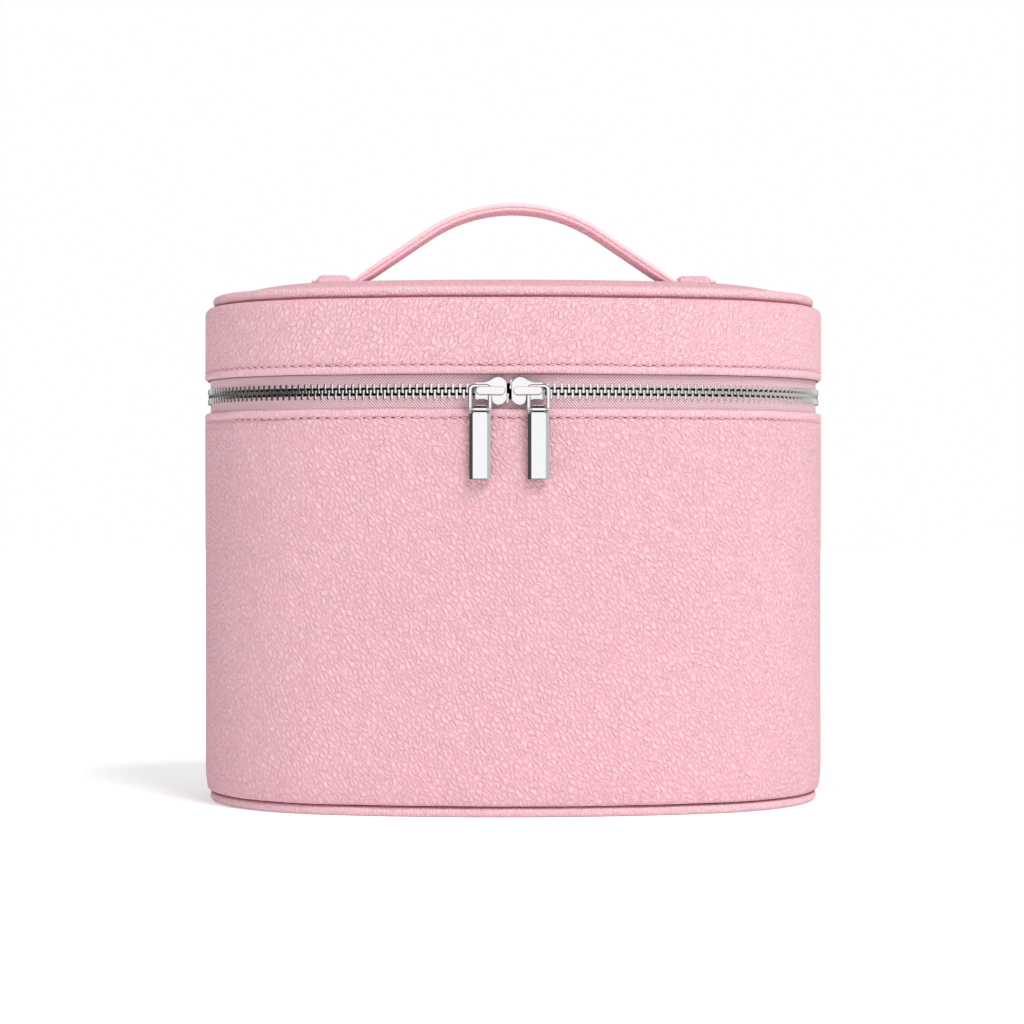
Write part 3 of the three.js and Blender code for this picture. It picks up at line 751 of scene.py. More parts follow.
def oval_places(distances, inset, height):
    """Origins and axes (along, out, up) at distances round the oval."""
    flat, normal = oval(distances)
    origins = np.zeros((len(distances), 3))
    origins[:, :2] = flat - normal * inset
    origins[:, 2] = height
    axes = np.zeros((len(distances), 3, 3))
    axes[:, 0, 0], axes[:, 0, 1] = -normal[:, 1], normal[:, 0]
    axes[:, 1, :2] = normal
    axes[:, 2, 2] = 1
    return origins, axes


def stitched_ring(name, height, body):
    count = round(GIRTH / STITCH_PITCH)
    distances = (np.arange(count) + 0.5) * GIRTH / count
    distances += random.uniform(-0.12, 0.12, count) * MM
    heights = height + random.uniform(-0.06, 0.06, count) * MM
    places = oval_places(distances, 0.28 * MM, heights)
    return copies(name, stitch_template(), places, body, thread_yarn)


stitched_ring("case_hem_stitches", CASE_SEAM - 0.13 * MM, "case")
stitched_ring("lid_hem_stitches", LID_SEAM + 0.13 * MM, "lid")
print("stitches in a ring:", round(GIRTH / STITCH_PITCH))

# %% [markdown]
# ## Rolled edges
#
# A cord wrapped in leather finishes the base and the top. The roll is round in section, slightly flattened
# where the case stands on it, and its covering puckers a little, which the finer grain shows.

# %% Rolled edges
def roll_profile(inset, low, high, foot=0.0):
    """A rolled section between two heights; foot flattens its underside."""
    radius = (high - low) / 2
    middle = (inset + radius, low + radius)
    points = turn(*middle, radius, 0, 345, 23)
    return [(x, max(z, low + foot)) for x, z in points]


def rolled_edge(name, stands_for, body, seed, foot=0.0):
    low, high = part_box(stands_for)
    inset = HALF_WIDTH - high.x
    profile = roll_profile(inset, low.z, high.z, foot)
    piece = band(name, profile, body, edge_leather, ripple=soft_ripple(0.12 * MM, 0.05 * MM, seed))
    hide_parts(stands_for)
    return piece


rolled_edge("base_roll_leather", "base_rolled_edge", "case", 8, 0.12 * MM)
rolled_edge("top_roll_leather", "lid_top_rolled_edge", "lid", 9)

# Painted shade: a dark strip in the groove where each roll is sewn to the wall.
foot_seam = [(2.1, -0.15), (2.1, 0.1), (4.6, 0.1), (4.6, -0.15)]
band("base_roll_painted_shade", [(x * MM, WALL_FOOT - GAP + z * MM) for x, z in foot_seam], "case", seam_painted_shade)
top_seam = [(3.1, -0.45), (3.1, 0.2), (5.6, 0.2), (5.6, -0.45)]
band("top_roll_painted_shade", [(x * MM, SHOULDER + z * MM) for x, z in top_seam], "lid", seam_painted_shade)
print("rolled edges at, mm:", 0, round(SHOULDER / MM, 1))

# %% [markdown]
# ## Flat and padded panels
#
# A panel is a nest of ovals, from a small one in its middle out to its edge, with the height of each set by a
# function. The base is flat. The top is padded: steep beside the rolled edge, then easing into a level
# middle.

# %% Panels
MIDDLE_INSET = 60 * MM  # the smallest nested oval that keeps the arcs' shape


def panel(name, profile, body, material, fills=14):
    """A panel from a profile of (inset, height) that starts and ends at its middle."""
    s = np.linspace(-GIRTH / 2, GIRTH / 2, 361)[:-1]
    rings = []
    first, last = profile[0], profile[-1]
    shrink = np.linspace(0.02, 1, fills)[:-1]
    levels = [(k, first) for k in shrink] + [(1, p) for p in profile]
    levels += [(k, last) for k in shrink[::-1]]
    for scale, (inset, height) in levels:
        xy, _ = oval(s, inset)
        rings.append(np.concatenate([xy * scale, np.full((len(s), 1), height)], -1))
    points = np.stack(rings, 1)
    wrapped = np.concatenate([points, points[:1]], 0)
    return grid(name, points, wrapped[..., :2], body, material, True, False, True)


def slab(name, inset, low, high, body, material, rounding=0.4 * MM):
    """A flat panel with a softened rim."""
    insets = np.linspace(MIDDLE_INSET, inset + rounding, 12)
    under = [(x, low) for x in insets]
    over = [(x, high) for x in insets[::-1]]
    rim = [(inset, low + rounding), (inset, high - rounding)]
    return panel(name, under + rim + over, body, material)


def plain_slab(name, stands_for, body, material):
    low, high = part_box(stands_for)
    piece = slab(name, HALF_WIDTH - high.x, low.z, high.z, body, material, (high.z - low.z) / 3)
    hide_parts(stands_for)
    return piece


plain_slab("base_panel_leather", "base_panel", "case", wall_leather)
plain_slab("base_floor_cloth", "base_lining", "case", lining_cloth)
plain_slab("lid_top_cloth", "lid_top_lining", "lid", lining_cloth)
print("flat panels: 3")

# %% Padded top
TOP_INSET = HALF_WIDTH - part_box("lid_top_panel")[1].x
CROWN = high_of("lid_top_panel")
CROWN_EDGE = low_of("lid_top_panel") + SKIN
CROWN_REACH = 31 * MM


def crown_height(inset):
    along_it = min(1.0, (inset - TOP_INSET) / CROWN_REACH)
    return CROWN_EDGE + (CROWN - CROWN_EDGE) * math.sin(along_it * math.pi / 2) ** 0.8


crown_insets = np.concatenate(
    [TOP_INSET + CROWN_REACH * np.linspace(0, 1, 22) ** 1.6, np.linspace(42, 60, 6) * MM]
)
upper = [(x, crown_height(x)) for x in crown_insets]
lower = [(x + 0.2 * MM, crown_height(x) - SKIN) for x in crown_insets[::-1]]
top_panel = panel("lid_top_padded_leather", lower + upper, "lid", top_leather)
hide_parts("lid_top_panel")
print("crown above its edge, mm:", round((CROWN - CROWN_EDGE) / MM, 1))

# %% [markdown]
# ## Inside
#
# The lining stands just inside the boards. The lid holds a mirror in a padded frame, and the back wall an
# elastic band sewn down at intervals so that it stands off in loops for brushes.

# %% Linings
def lining_wall(name, stands_for, body):
    low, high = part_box(stands_for)
    profile = [(LINING_OUT, low.z)] + straight((LINING_OUT, low.z), (LINING_OUT, high.z), 12)
    profile += [(LINING_IN, high.z)] + straight((LINING_IN, high.z), (LINING_IN, low.z), 12)
    piece = band(name, profile, body, lining_cloth, step=3 * MM)
    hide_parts(stands_for)


lining_wall("case_lining_cloth", "case_wall_lining", "case")
lining_wall("lid_lining_cloth", "lid_wall_lining", "lid")
print("linings stand in by, mm:", round(LINING_OUT / MM, 1))

# %% Mirror
frame_low, frame_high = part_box("mirror_frame")
FRAME_INSET = HALF_WIDTH - frame_high.x
FRAME_WIDTH = 5 * MM
frame_roll = turn(0, 0, 1, 0, 345, 23)
frame_points = [
    (
        FRAME_INSET + FRAME_WIDTH / 2 * (1 + x),
        (frame_low.z + frame_high.z) / 2 + z * (frame_high.z - frame_low.z) / 2,
    )
    for x, z in frame_roll
]
mirror_frame = band("mirror_frame_leather", frame_points, "lid", edge_leather)
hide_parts("mirror_frame")
mirror_low, mirror_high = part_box("mirror")
mirror = slab(
    "mirror_glass", HALF_WIDTH - mirror_high.x, mirror_low.z, mirror_high.z, "lid", silvered, 0.35 * MM
)
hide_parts("mirror")
print("mirror, mm wide:", round(2 * mirror_high.x / MM))

# %% Brush band
LOOP_PITCH = 15.6 * MM
LOOP_STAND = 1.6 * MM
band_low, band_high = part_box("brush_band")
BAND_HALF = math.asin(band_high.x / (LONG_RADIUS - LINING_IN)) * LONG_RADIUS
BAND_INSET = LINING_IN + GAP


def brush_loops(s, height):
    wave = np.abs(np.sin(math.pi * (s - GIRTH / 2) / LOOP_PITCH)) ** 0.7
    return -LOOP_STAND * np.broadcast_to(wave, height.shape), np.zeros_like(height)


band_profile = [(BAND_INSET, band_low.z)] + straight(
    (BAND_INSET, band_low.z), (BAND_INSET, band_high.z), 8
)
band_profile += [(BAND_INSET + 0.9 * MM, z) for _, z in band_profile[::-1]]
brush_band = band(
    "brush_band_elastic",
    band_profile,
    "case",
    elastic_rib,
    (GIRTH / 2 - BAND_HALF, GIRTH / 2 + BAND_HALF),
    ripple=brush_loops,
)
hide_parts("brush_band")
print("brush loops:", round(2 * BAND_HALF / LOOP_PITCH))

# %% [markdown]
# ## The zip: tapes
#
# The tapes run from one end of the hinge, round the front, to the other. Between the two sliders the chain
# is open, so there the teeth and the tapes' inner edges bow away from each other. One function gives that
# parting, and the tapes and the teeth share it.

# %% Zip tapes
stop_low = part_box("right_zip_stop")[0]
ZIP_END = GIRTH / 2 - math.asin(stop_low.x / (LONG_RADIUS - TAPE_OUT)) * LONG_RADIUS
right_link = joints["right_link_swing"]
left_link = joints["left_link_swing"]
SLIDER_OUT = {"right": Vector(right_link["axis"]), "left": -Vector(left_link["axis"])}


def front_distance(direction):
    """Distance along the front of the place whose outward direction is given."""
    return math.atan2(direction.x, -direction.y) * LONG_RADIUS


SLIDER_AT = {side: front_distance(out) for side, out in SLIDER_OUT.items()}
MEETING = sum(SLIDER_AT.values()) / 2
PART_HALF = 10 * MM
PART_BY = 1.5 * MM
STRIP_HALF = math.asin(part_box("hinge_strip")[1].x / (LONG_RADIUS - TAPE_OUT)) * LONG_RADIUS
TAPE_END = GIRTH / 2 - STRIP_HALF - GAP
TAPE_STEP = 0.8 * MM
CORD = 0.25 * MM
CORD_WIDTH = 1.2 * MM
END_RISE = 1.2 * MM


def parting(distance):
    """How far each half of the zip stands off the middle line, at a distance along the zip."""
    t = np.clip(1 - np.abs(np.asarray(distance) - MEETING) / PART_HALF, 0, 1)
    return PART_BY * t * t * (3 - 2 * t)


def tape(name, stands_for, hidden, visible, up, body, end_reach, end_by):
    """A tape from its tucked edge to the edge that the teeth grip, with a thicker woven cord there.

    Over the last end_reach before the hinge that edge rises by end_by.
    """
    rows = np.linspace(hidden, visible, 12)
    thicker = {z: CORD if abs(z - visible) < CORD_WIDTH else 0 for z in rows}
    outer = [(TAPE_OUT - thicker[z], z) for z in rows]
    inner = [(TAPE_IN + thicker[z], z) for z in rows[::-1]]
    end_from = ZIP_END - end_reach

    def bow(s, height):
        near = np.clip((height - hidden) / (visible - hidden), 0, 1) ** 2
        at_end = np.clip((np.abs(s) - end_from) / END_RISE, 0, 1)
        return np.zeros_like(height), (end_by * at_end - up * parting(s)) * near

    piece = band(name, outer + inner, body, tape_cloth, (-TAPE_END, TAPE_END), TAPE_STEP, ripple=bow)
    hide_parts(stands_for)


TAPE_EDGE = 1.5 * MM  # from the middle line to the tapes' edges
LOWER_TUCK = low_of("lower_zip_tape")
UPPER_TUCK = high_of("upper_zip_tape")
LOWER_EDGE = ZIP_HEIGHT - TAPE_EDGE
UPPER_EDGE = ZIP_HEIGHT + TAPE_EDGE
# The case's tape fills the space between stop and hinge; the lid's tape stands clear of the stops.
tape("lower_tape_twill", "lower_zip_tape", LOWER_TUCK, LOWER_EDGE, 1, "case", 0.2 * MM, 4.3 * MM)
tape("upper_tape_twill", "upper_zip_tape", UPPER_TUCK, UPPER_EDGE, -1, "lid", 4 * MM, 1.75 * MM)
print("length of the zip, mm:", round(2 * ZIP_END / MM))

# %% [markdown]
# ## The zip: teeth
#
# Each tooth is a stamped clip with two legs round the tape's cord and a head that locks between its
# neighbours from the other side. The two rows are half a pitch apart. Near the sliders' meeting the rows
# follow the parting, and each tooth leans a little with it.

# %% Zip teeth
TOOTH_PITCH = 2.71 * MM
CHAIN_OUT = HALF_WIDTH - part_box("lower_tooth_row")[1].x
CHAIN_DEPTH = 2.7 * MM


def merged(*shapes):
    """Several shapes as one: each is points and faces."""
    points, faces = [], []
    for some_points, some_faces in shapes:
        shift = sum(len(p) for p in points)
        points.append(np.asarray(some_points))
        faces += [tuple(v + shift for v in face) for face in some_faces]
    return np.concatenate(points), faces


def rounded_box(size, centre, bevel):
    """Points and faces of a box with rolled edges."""
    edit = bmesh.new()
    bmesh.ops.create_cube(edit, size=1)
    bmesh.ops.scale(edit, vec=size, verts=edit.verts)
    bmesh.ops.bevel(
        edit, geom=edit.edges[:], offset=bevel, segments=2, profile=0.6, affect="EDGES"
    )
    bmesh.ops.translate(edit, vec=centre, verts=edit.verts)
    edit.verts.ensure_lookup_table()
    points = np.array([v.co[:] for v in edit.verts])
    faces = [tuple(v.index for v in face.verts) for face in edit.faces]
    edit.free()
    return points, faces


def tooth_template():
    """A tooth of the lower row: (along, out, up), its middle line at height 0."""
    depth = -CHAIN_DEPTH / 2
    leg = rounded_box((1.12 * MM, CHAIN_DEPTH, 2.1 * MM), (0, depth, -1.9 * MM), 0.36 * MM)
    neck = rounded_box((0.85 * MM, 2.1 * MM, 1.5 * MM), (0, depth, -0.75 * MM), 0.15 * MM)
    head = rounded_box((1.28 * MM, 2.2 * MM, 1.25 * MM), (0, depth, 0.12 * MM), 0.38 * MM)
    return merged(leg, neck, head)


def tooth_row(name, stands_for, up, offset, body):
    """One row; up is -1 for the lower row, whose heads point up."""
    ends = ZIP_END - 3 * MM
    distances = np.arange(-ends + offset, ends, TOOTH_PITCH)
    heights = ZIP_HEIGHT + up * parting(distances)
    origins, axes = oval_places(distances, CHAIN_OUT, heights)
    lean = np.gradient(parting(distances), distances) * 1.1
    along_axis = axes[:, 0].copy()
    up_axis = axes[:, 2].copy() * -up
    axes[:, 2] = up_axis + along_axis * lean[:, None]
    axes[:, 2] /= np.linalg.norm(axes[:, 2], axis=1)[:, None]
    piece = copies(name, tooth_template(), (origins, axes), body, tooth_metal, 50)
    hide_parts(stands_for)
    return len(distances)


lower_count = tooth_row("lower_teeth", "lower_tooth_row", -1, 0.0, "case")
tooth_row("upper_teeth", "upper_tooth_row", 1, TOOTH_PITCH / 2, "lid")
print("teeth in a row:", lower_count)

# %% [markdown]
# ## Sliders and pulls
#
# Every metal part is a stack of rings: an outline repeated at several depths, drawn in a little at both
# ends, which gives cast and polished metal its soft edges. Each part is drawn in its own frame, with the
# first axis along the zip towards the closed chain, the second out of the wall and the third up.

# %% Stacked rings
def stack(rings):
    """A solid from rings with the same number of points, closed at both ends."""
    count = len(rings[0])
    faces = [
        (at + k, at + (k + 1) % count, at + count + (k + 1) % count, at + count + k)
        for at in range(0, (len(rings) - 1) * count, count)
        for k in range(count)
    ]
    last = (len(rings) - 1) * count
    faces += [tuple(range(count)), tuple(range(last, last + count))]
    return np.concatenate(rings), faces


def plate(outline, near, far, edge=0.25 * MM, dome=0.0):
    """A plate between two depths; outline(inset) gives its (along, up) points."""
    back = min(edge, (far - near) / 3)
    lift = [(back, near), (back * 0.3, near + back * 0.3), (0.0, near + back), (0.0, far - edge)]
    lift += [(edge * 0.12, far - edge * 0.55), (edge * 0.45, far - edge * 0.16), (edge, far)]
    if dome:
        lift += [(edge + k * 0.5 * MM, far + dome * math.sin(k * math.pi / 6)) for k in (1, 2, 3)]
    rings = []
    for inset, depth in lift:
        flat = outline(inset)
        rings.append(np.stack([flat[:, 0], np.full(len(flat), depth), flat[:, 1]], -1))
    return stack(rings)


def circle(radius, count=24):
    angle = np.linspace(0, 2 * math.pi, count + 1)[:-1]
    return np.stack([np.cos(angle), np.sin(angle)], -1) * radius


def post(x, near, far, radius):
    return plate(lambda inset: circle(radius - inset) + np.array([x, 0]), near, far, 0.12 * MM)


def pin(x, half, height, depth, radius, edge=0.15 * MM):
    """A round pin along the first axis."""
    rings = []
    for inset, at in [(edge, -half), (0, -half + edge), (0, half - edge), (edge, half)]:
        ring = circle(radius - inset)
        rings.append(np.stack([np.full(len(ring), x + at), ring[:, 0] + depth, ring[:, 1] + height], -1))
    return stack(rings)


def slider_outline(inset):
    """A slider plate: full and round where the rows meet, narrow where the closed chain leaves."""
    x = np.linspace(-6, 6, 49)
    ease = np.clip((x + 2.7) / 5.4, 0, 1)
    half = 5.35 - 1.85 * ease * ease * (3 - 2 * ease)
    half -= 2.15 * np.clip((-x - 2.7) / 3.3, 0, 1) ** 2.5
    half -= 1 - np.sqrt(1 - np.clip(x - 5, 0, 1) ** 2)
    scale_x, scale_z = 1 - inset / (6 * MM), 1 - inset / (4.4 * MM)
    upper = np.stack([x * scale_x, half * scale_z], -1)
    return np.concatenate([upper, upper[::-1] * [1, -1]]) * MM


def stadium(half, radius):
    def outline(inset):
        round_end = np.radians(np.linspace(-90, 90, 13))
        reach, r = half - radius, radius - inset
        end = np.stack([np.cos(round_end) * r + reach, np.sin(round_end) * r], -1)
        return np.concatenate([end, end * [-1, -1]])

    return outline


print("points in a slider's outline:", len(slider_outline(0)))

# %% Slider, shackle and pull
LEG_AT = 3.9 * MM
PIN_AT = -6.8 * MM
LINK_DEPTH = 2.2 * MM


def slider_template():
    front = plate(slider_outline, -0.65 * MM, 0.15 * MM, 0.42 * MM, 0.18 * MM)
    rear = plate(lambda inset: slider_outline(inset + 0.4 * MM), -4.75 * MM, -4.05 * MM)
    divider = rounded_box((3.6 * MM, 3.6 * MM, 1.6 * MM), (-2.8 * MM, -2.35 * MM, 0), 0.2 * MM)
    return merged(front, rear, divider)


def bridge_template():
    cap = plate(stadium(5.5 * MM, 1.6 * MM), 3.2 * MM, 4.0 * MM, 0.45 * MM)
    legs = [post(x, 0.5 * MM, 3.4 * MM, 0.8 * MM) for x in (LEG_AT, -4.2 * MM)]
    return merged(cap, *legs)


def shackle_path():
    """The middle line of the shackle, foot to foot, and half its width on the way."""
    side, top, bend = 3.65 * MM, 1.8 * MM, 1.5 * MM
    left_bend = np.radians(np.linspace(180, 90, 9))
    right_bend = np.radians(np.linspace(90, 0, 9))
    up = [(-side, z) for z in np.linspace(-7.75 * MM, top - bend, 12)[:-1]]
    over = [(-side + bend + bend * math.cos(a), top - bend + bend * math.sin(a)) for a in left_bend]
    across = [(x, top) for x in np.linspace(-side + bend, side - bend, 6)[1:-1]]
    back = [(side - bend + bend * math.cos(a), top - bend + bend * math.sin(a)) for a in right_bend]
    path = np.array(up + over + across + back + [(-x, z) for x, z in up[::-1]])
    half = np.where(path[:, 1] > top - 0.4 * MM, 0.7, 0.8) * MM
    half[[0, -1]] = 0.55 * MM
    return path + [LEG_AT, 0], half


def link_template():
    path, half = shackle_path()
    tangent = np.gradient(path, axis=0)
    tangent /= np.linalg.norm(tangent, axis=1)[:, None]
    side = np.stack([-tangent[:, 1], tangent[:, 0]], -1)
    corner = np.radians([10, 45, 80])
    quarters = [(1, 1), (-1, 1), (-1, -1), (1, -1)]
    rings = []
    for place, across, wide in zip(path, side, half):
        ring = []
        for quarter, (sx, sy) in enumerate(quarters):
            angles = corner if quarter % 2 == 0 else corner[::-1]
            for a in angles:
                u = sx * (wide - 0.5 * MM * (1 - math.cos(a)))
                v = sy * (0.7 * MM - 0.5 * MM * (1 - math.sin(a)))
                ring.append((place[0] + across[0] * u, LINK_DEPTH + v, place[1] + across[1] * u))
        rings.append(np.array(ring))
    return merged(stack(rings), pin(LEG_AT, 4.2 * MM, PIN_AT, LINK_DEPTH, 0.85 * MM))


def bar_section(inset):
    """The pull seen from its end: a flat face between two wide bevels, with a rounded back."""
    points = [(-3.75, 0.9), (-3.95, 1.15), (-3.95, 2.45), (-2.65, 3.5)]
    points = np.array(points + [(-x, y) for x, y in points[::-1]])
    middle = np.array([0, 2.2])
    drawn_in = 1 - inset / np.array([3.95 * MM, 1.3 * MM])
    return ((points - middle) * drawn_in + middle) * MM + [LEG_AT, 0]


def pull_template():
    rings = []
    ends = [(0.3, -8.0), (0.0, -8.3), (0.0, -32.3), (0.12, -32.55), (0.4, -32.7)]
    for inset, height in ends:
        flat = bar_section(inset * MM)
        rings.append(np.column_stack([flat, np.full(len(flat), height * MM)]))
    neck = rounded_box((5.0 * MM, 2.0 * MM, 1.6 * MM), (LEG_AT, LINK_DEPTH, -7.45 * MM), 0.3 * MM)
    return merged(stack(rings), neck, pin(LEG_AT, 2.5 * MM, PIN_AT, LINK_DEPTH, 1.6 * MM))


print("shackle pin below the zip, mm:", -PIN_AT / MM)

# %% Both zip pulls in place
for side, towards_tail in (("left", -1), ("right", 1)):
    origins, axes = oval_places(np.array([SLIDER_AT[side]]), 0.0, np.array([ZIP_HEIGHT]))
    axes[:, 0] *= towards_tail
    parts = [
        ("slider", slider_template, f"{side}_slider", 28),
        ("slider_bridge", bridge_template, f"{side}_slider", 28),
        ("link", link_template, f"{side}_link", 28),
        ("pull", pull_template, f"{side}_pull", 8),
    ]
    for part, template, body, sharp in parts:
        piece = copies(f"{side}_{part}_metal", template(), (origins, axes), body, chrome, sharp)
        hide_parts(f"{side}_{part}")
print("sliders at, mm from the middle:", {side: round(s / MM, 1) for side, s in SLIDER_AT.items()})

# %% [markdown]
# ## Handle
#
# The strap is one length of leather: flat tails on the lid, a short bend up, and a shallow arch between. It
# is two layers sewn together, so its edge shows a groove between a wider top and a slightly narrower
# underside. It bends where tail and arch meet, between the lid and the tilting handle.

# %% Strap
arch_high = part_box("handle_strap")[1]
tail_low, tail_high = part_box("right_strap_tail")
STRAP_HALF = arch_high.y
THICK = 3.3 * MM
THIN = 2.1 * MM
ARCH_ANGLE = math.radians(34)
ARCH_RADIUS = 62 * MM - THICK / 2
ARCH_CENTRE = arch_high.z - 62 * MM
TAIL_MIDDLE = tail_low.z + THIN / 2
FILLET = 2.2 * MM  # length of strap from the corner to where its bend starts


def strap_line():
    """Middle line of the right half of the strap, from the crown of the arch to the end of the tail."""
    angles = np.linspace(0, ARCH_ANGLE, 26)
    arc = [(ARCH_RADIUS * math.sin(a), ARCH_CENTRE + ARCH_RADIUS * math.cos(a)) for a in angles]
    x0, z0 = arc[-1]
    corner_x = x0 + (z0 - TAIL_MIDDLE) / math.tan(ARCH_ANGLE)
    bend = FILLET / math.tan(ARCH_ANGLE / 2)
    start = (corner_x - FILLET * math.cos(ARCH_ANGLE), TAIL_MIDDLE + FILLET * math.sin(ARCH_ANGLE))
    fillet = [
        (corner_x + FILLET - bend * math.sin(a), TAIL_MIDDLE + bend * (1 - math.cos(a)))
        for a in np.linspace(ARCH_ANGLE, 0, 9)[1:]
    ]
    run_down = straight((x0, z0), start, 16)
    run_out = straight(fillet[-1], (tail_high.x, TAIL_MIDDLE), 12)
    return np.array(arc + run_down + fillet + run_out)


right_half = strap_line()
line = np.concatenate([(right_half * [-1, 1])[::-1][:-1], right_half])
line_run = along(line)
slopes = np.gradient(line, axis=0)
slopes /= np.linalg.norm(slopes, axis=1)[:, None]
line_out = np.stack([-slopes[:, 1], slopes[:, 0]], -1)
thin_by = np.clip((np.abs(line[:, 0]) - 55 * MM) / (9 * MM), 0, 1)
line_thick = THICK + (THIN - THICK) * thin_by * thin_by * (3 - 2 * thin_by)
# Half of the strap's section, across in half widths and out in thicknesses, with the groove between layers.
STRAP_SECTION = [(0.0, 0.5), (0.55, 0.5), (0.9, 0.48), (0.975, 0.36), (1.0, 0.2), (1.0, 0.02)]
STRAP_SECTION += [(0.985, -0.06), (0.955, -0.1), (0.985, -0.14)]
STRAP_SECTION += [(0.985, -0.36), (0.965, -0.46), (0.9, -0.5), (0.5, -0.5)]
section = np.array(
    STRAP_SECTION + [(0.0, -0.5)] + [(-y, n) for y, n in STRAP_SECTION[::-1] if y > 0]
)
section_run = along(np.concatenate([section, section[:1]]) * [STRAP_HALF, THICK])


def strap_point(index, y, n):
    """A place on the strap: index along its line, y across, n out from its middle in thicknesses."""
    x, z = line[index] + line_out[index] * n * line_thick[index]
    return x, y, z


strap_points = np.array(
    [[strap_point(i, y * STRAP_HALF, n) for y, n in section] for i in range(len(line))]
)
strap_uv = np.stack(np.meshgrid(line_run, section_run, indexing="ij"), -1)
# The strap wears the leather in its paler, painted-light pinks.
strap = grid("handle_strap_leather", strap_points, strap_uv, None, strap_leather_painted_light, False, True, True)
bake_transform(strap)
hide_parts("handle_strap", "handle_strap_underside", "left_strap_tail", "right_strap_tail")
print("length of the strap, mm:", round(line_run[-1] / MM))

# %% [markdown]
# Two rows of stitches run the whole length, a couple of millimetres from the strap's edges.

# %% Strap stitches
stitch_runs = np.arange(2 * MM, line_run[-1] - 2 * MM, STITCH_PITCH)
origins, axes = [], []
for run in stitch_runs:
    i = min(int(np.searchsorted(line_run, run)), len(line) - 1)
    tangent = Vector((slopes[i][0], 0, slopes[i][1]))
    outward = Vector((line_out[i][0], 0, line_out[i][1]))
    x = np.interp(run, line_run, line[:, 0])
    z = np.interp(run, line_run, line[:, 1])
    lift = line_thick[i] / 2 - 0.32 * MM
    for y in (-8 * MM, 8 * MM):
        origins.append((x + outward.x * lift, y, z + outward.z * lift))
        axes.append([tuple(tangent), tuple(outward), (0, 1, 0)])
places = (np.array(origins), np.array(axes))
strap_stitches = copies("strap_stitches", stitch_template(2.3 * MM, 0.2 * MM), places, None, thread_yarn)
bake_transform(strap_stitches)
print("strap stitches:", len(origins))

# %% [markdown]
# Each tail runs through a keeper: a leather loop, domed on top and sewn to the lid on both sides.

# %% Keepers
keeper_low, keeper_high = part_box("right_keeper")
KEEPER_HALF = keeper_high.y
SLOT_HALF = STRAP_HALF + 0.4 * MM
SLOT_TOP = keeper_low.z + THIN + GAP


def keeper_profile(inset):
    """The loop seen from its end, as (across, height), drawn in by an inset."""
    top, half = keeper_high.z - inset, KEEPER_HALF - inset
    across = np.linspace(-1, 1, 25)
    dome = [(half * y, keeper_low.z + (top - keeper_low.z) * (1 - 0.9 * abs(y) ** 7)) for y in across]
    foot = [(half, keeper_low.z), (SLOT_HALF + inset * 0.4, keeper_low.z)]
    slot = [(SLOT_HALF, SLOT_TOP), (0, SLOT_TOP), (-SLOT_HALF, SLOT_TOP)]
    rest = [(-SLOT_HALF - inset * 0.4, keeper_low.z), (-half, keeper_low.z)]
    return np.array(dome + foot + slot + rest)


def keeper(side, start, end):
    drawn_in = [(1.5, 0.0), (0.75, 0.2), (0.2, 0.9), (0.0, 2.0)]
    places = [start + t * MM for _, t in drawn_in] + [end - t * MM for _, t in drawn_in[::-1]]
    insets = [inset for inset, _ in drawn_in + drawn_in[::-1]]
    rings = []
    for x, inset in zip(places, insets):
        flat = keeper_profile(inset * MM)
        rings.append(np.column_stack([np.full(len(flat), x), flat]))
    points = np.array(rings)
    runs = along(np.concatenate([points[3][:, 1:], points[3][:1, 1:]]))
    uv = np.stack(np.meshgrid(np.array(places), runs, indexing="ij"), -1)
    piece = grid(f"{side}_keeper_leather", points, uv, "lid", edge_leather, False, True, True)
    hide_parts(f"{side}_keeper")


keeper("right", keeper_low.x, keeper_high.x)
left_low, left_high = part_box("left_keeper")
keeper("left", left_low.x, left_high.x)
print("keepers, mm long:", round((left_high.x - left_low.x) / MM, 1))

# %% [markdown]
# ## Hinge
#
# At the back a strip of leather, lined inside, joins the case to the lid in place of the zip.

# %% Hinge strip
def hinge_sheet(name, stands_for, inset, thick, material):
    low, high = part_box(stands_for)
    half = math.asin(min(1, high.x / (LONG_RADIUS - inset))) * LONG_RADIUS
    outer = [(inset, low.z)] + straight((inset, low.z), (inset, high.z), 24)
    profile = outer + [(inset + thick, z) for _, z in outer[::-1]]
    piece = band(name, profile, None, material, (GIRTH / 2 - half, GIRTH / 2 + half))
    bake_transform(piece)
    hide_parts(stands_for)


hinge_sheet("hinge_leather", "hinge_strip", TAPE_OUT, 0.65 * MM, wall_leather)
hinge_sheet("hinge_cloth", "hinge_lining", 2.9 * MM, 1.3 * MM, lining_cloth)
print("hinge, mm wide:", round(2 * STRIP_HALF / MM))

# %% [markdown]
# ## Hidden stiffeners
#
# The boards, the foam and the zip's end stops keep the engineering model's own meshes. They only need their
# materials.

# %% Materials of the carried-over pieces
CARRIED = {
    "case_wall_board": fibreboard,
    "base_board": fibreboard,
    "lid_wall_board": fibreboard,
    "lid_top_board": fibreboard,
    "lid_foam": cell_foam,
    "left_zip_stop": tooth_metal,
    "right_zip_stop": tooth_metal,
}
for name, finish in CARRIED.items():
    carried = frame["nodes"][name]
    carried.data.materials.clear()
    carried.data.materials.append(finish)
print("carried over:", sorted(CARRIED))

# %% [markdown]
# ## Studio
#
# A white room with a broad light from the front and right. The floor is bright enough to vanish, apart from a
# faint shadow where the case stands. Reflections see a room that is white in front and dark at the sides,
# as between black flags, which gives the chrome its edges. The soft light grows a little towards both ends of
# the room, and more to the right than to the left.

# %% Floor
studio = bpy.context.scene.collection


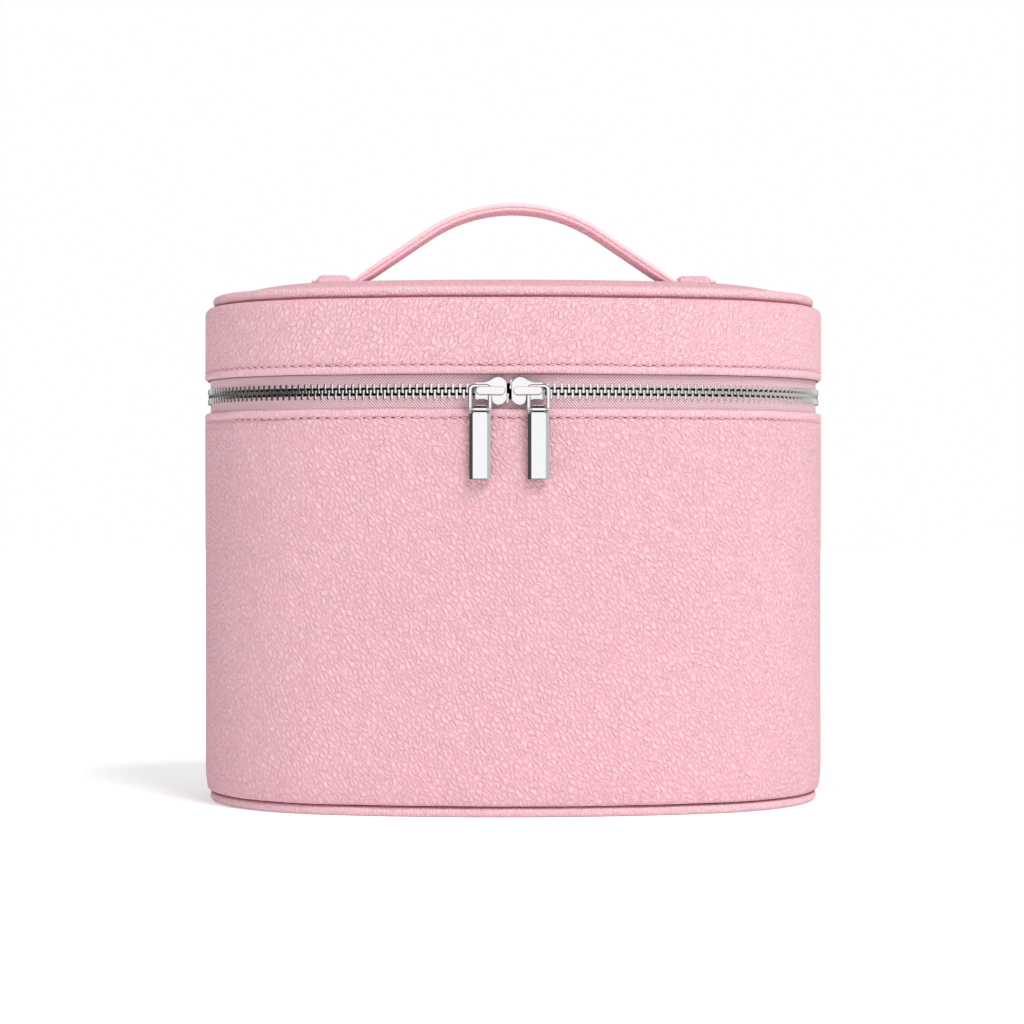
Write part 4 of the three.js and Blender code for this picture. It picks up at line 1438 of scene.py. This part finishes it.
def stage_plane(name, size, place, facing, material):
    mesh = bpy.data.meshes.new(name)
    half = size / 2
    corners = [(-half, -half, 0), (half, -half, 0), (half, half, 0), (-half, half, 0)]
    mesh.from_pydata(corners, [], [(0, 1, 2, 3)])
    mesh.materials.append(material)
    plane = bpy.data.objects.new(name, mesh)
    plane.location = place
    plane.rotation_euler = Vector(facing).to_track_quat("Z", "Y").to_euler()
    studio.objects.link(plane)
    return plane


floor_paint, _, paint = principled("studio_floor")
paint["Base Color"].default_value = (0.89, 0.93, 0.925, 1)
paint["Roughness"].default_value = 0.9
paint["Specular IOR Level"].default_value = 0.0
paint["Emission Color"].default_value = (1, 1, 1, 1)
paint["Emission Strength"].default_value = 0.24
floor = stage_plane("studio_floor", 12.0, (0, 0, -0.0001), (0, 0, 1), floor_paint)
floor.visible_glossy = False
print("floor laid")

# %% Sun and room
SUN_TURN = math.radians(35)
SUN_HEIGHT = math.radians(50)
SUN_FROM = Vector((math.sin(SUN_TURN), -math.cos(SUN_TURN), math.tan(SUN_HEIGHT)))
sun_data = bpy.data.lights.new("studio_sun", "SUN")
sun_data.energy = 2.1
sun_data.angle = math.radians(24)
sun = bpy.data.objects.new("studio_sun", sun_data)
sun.rotation_euler = SUN_FROM.to_track_quat("Z", "Y").to_euler()
sun.visible_glossy = False
studio.objects.link(sun)

world = bpy.data.worlds.new("studio_room")
world.use_nodes = True
bpy.context.scene.world = world
room = world.node_tree
backdrop = room.nodes["Background"]
rays = node(room, "LightPath")
direction = node(room, "SeparateXYZ", {0: node(room, "TexCoord").outputs["Generated"]})
towards_right, away, upwards = direction.outputs
tilted = maths(room, "ADD", 0.67, maths(room, "MULTIPLY", towards_right, 0.06))
both_ends = maths(room, "MULTIPLY", maths(room, "MULTIPLY", towards_right, towards_right), 0.14)
soft_fill = maths(room, "ADD", tilted, both_ends)
in_front = maths(room, "SUBTRACT", maths(room, "MULTIPLY", upwards, 0.12), away)
sheen_card = remap(room, in_front, 0.76, 0.95, 0.0, 1.0)
right_glow = remap(room, towards_right, 0.2, 0.95, 0.02, 0.55)
left_glow = remap(room, towards_right, -0.6, -0.98, 0.0, 0.05)
mirrored = maths(room, "MAXIMUM", sheen_card, maths(room, "ADD", right_glow, left_glow))
lit = node(room, "Mix", {0: rays.outputs["Is Glossy Ray"], 2: soft_fill, 3: mirrored})
shown = node(room, "Mix", {0: rays.outputs["Is Camera Ray"], 2: lit.outputs[0], 3: 1.0})
backdrop.inputs["Color"].default_value = (1, 1, 1, 1)
room.links.new(shown.outputs[0], backdrop.inputs["Strength"])
bpy.context.scene.view_settings.view_transform = "Standard"
print("stage set")
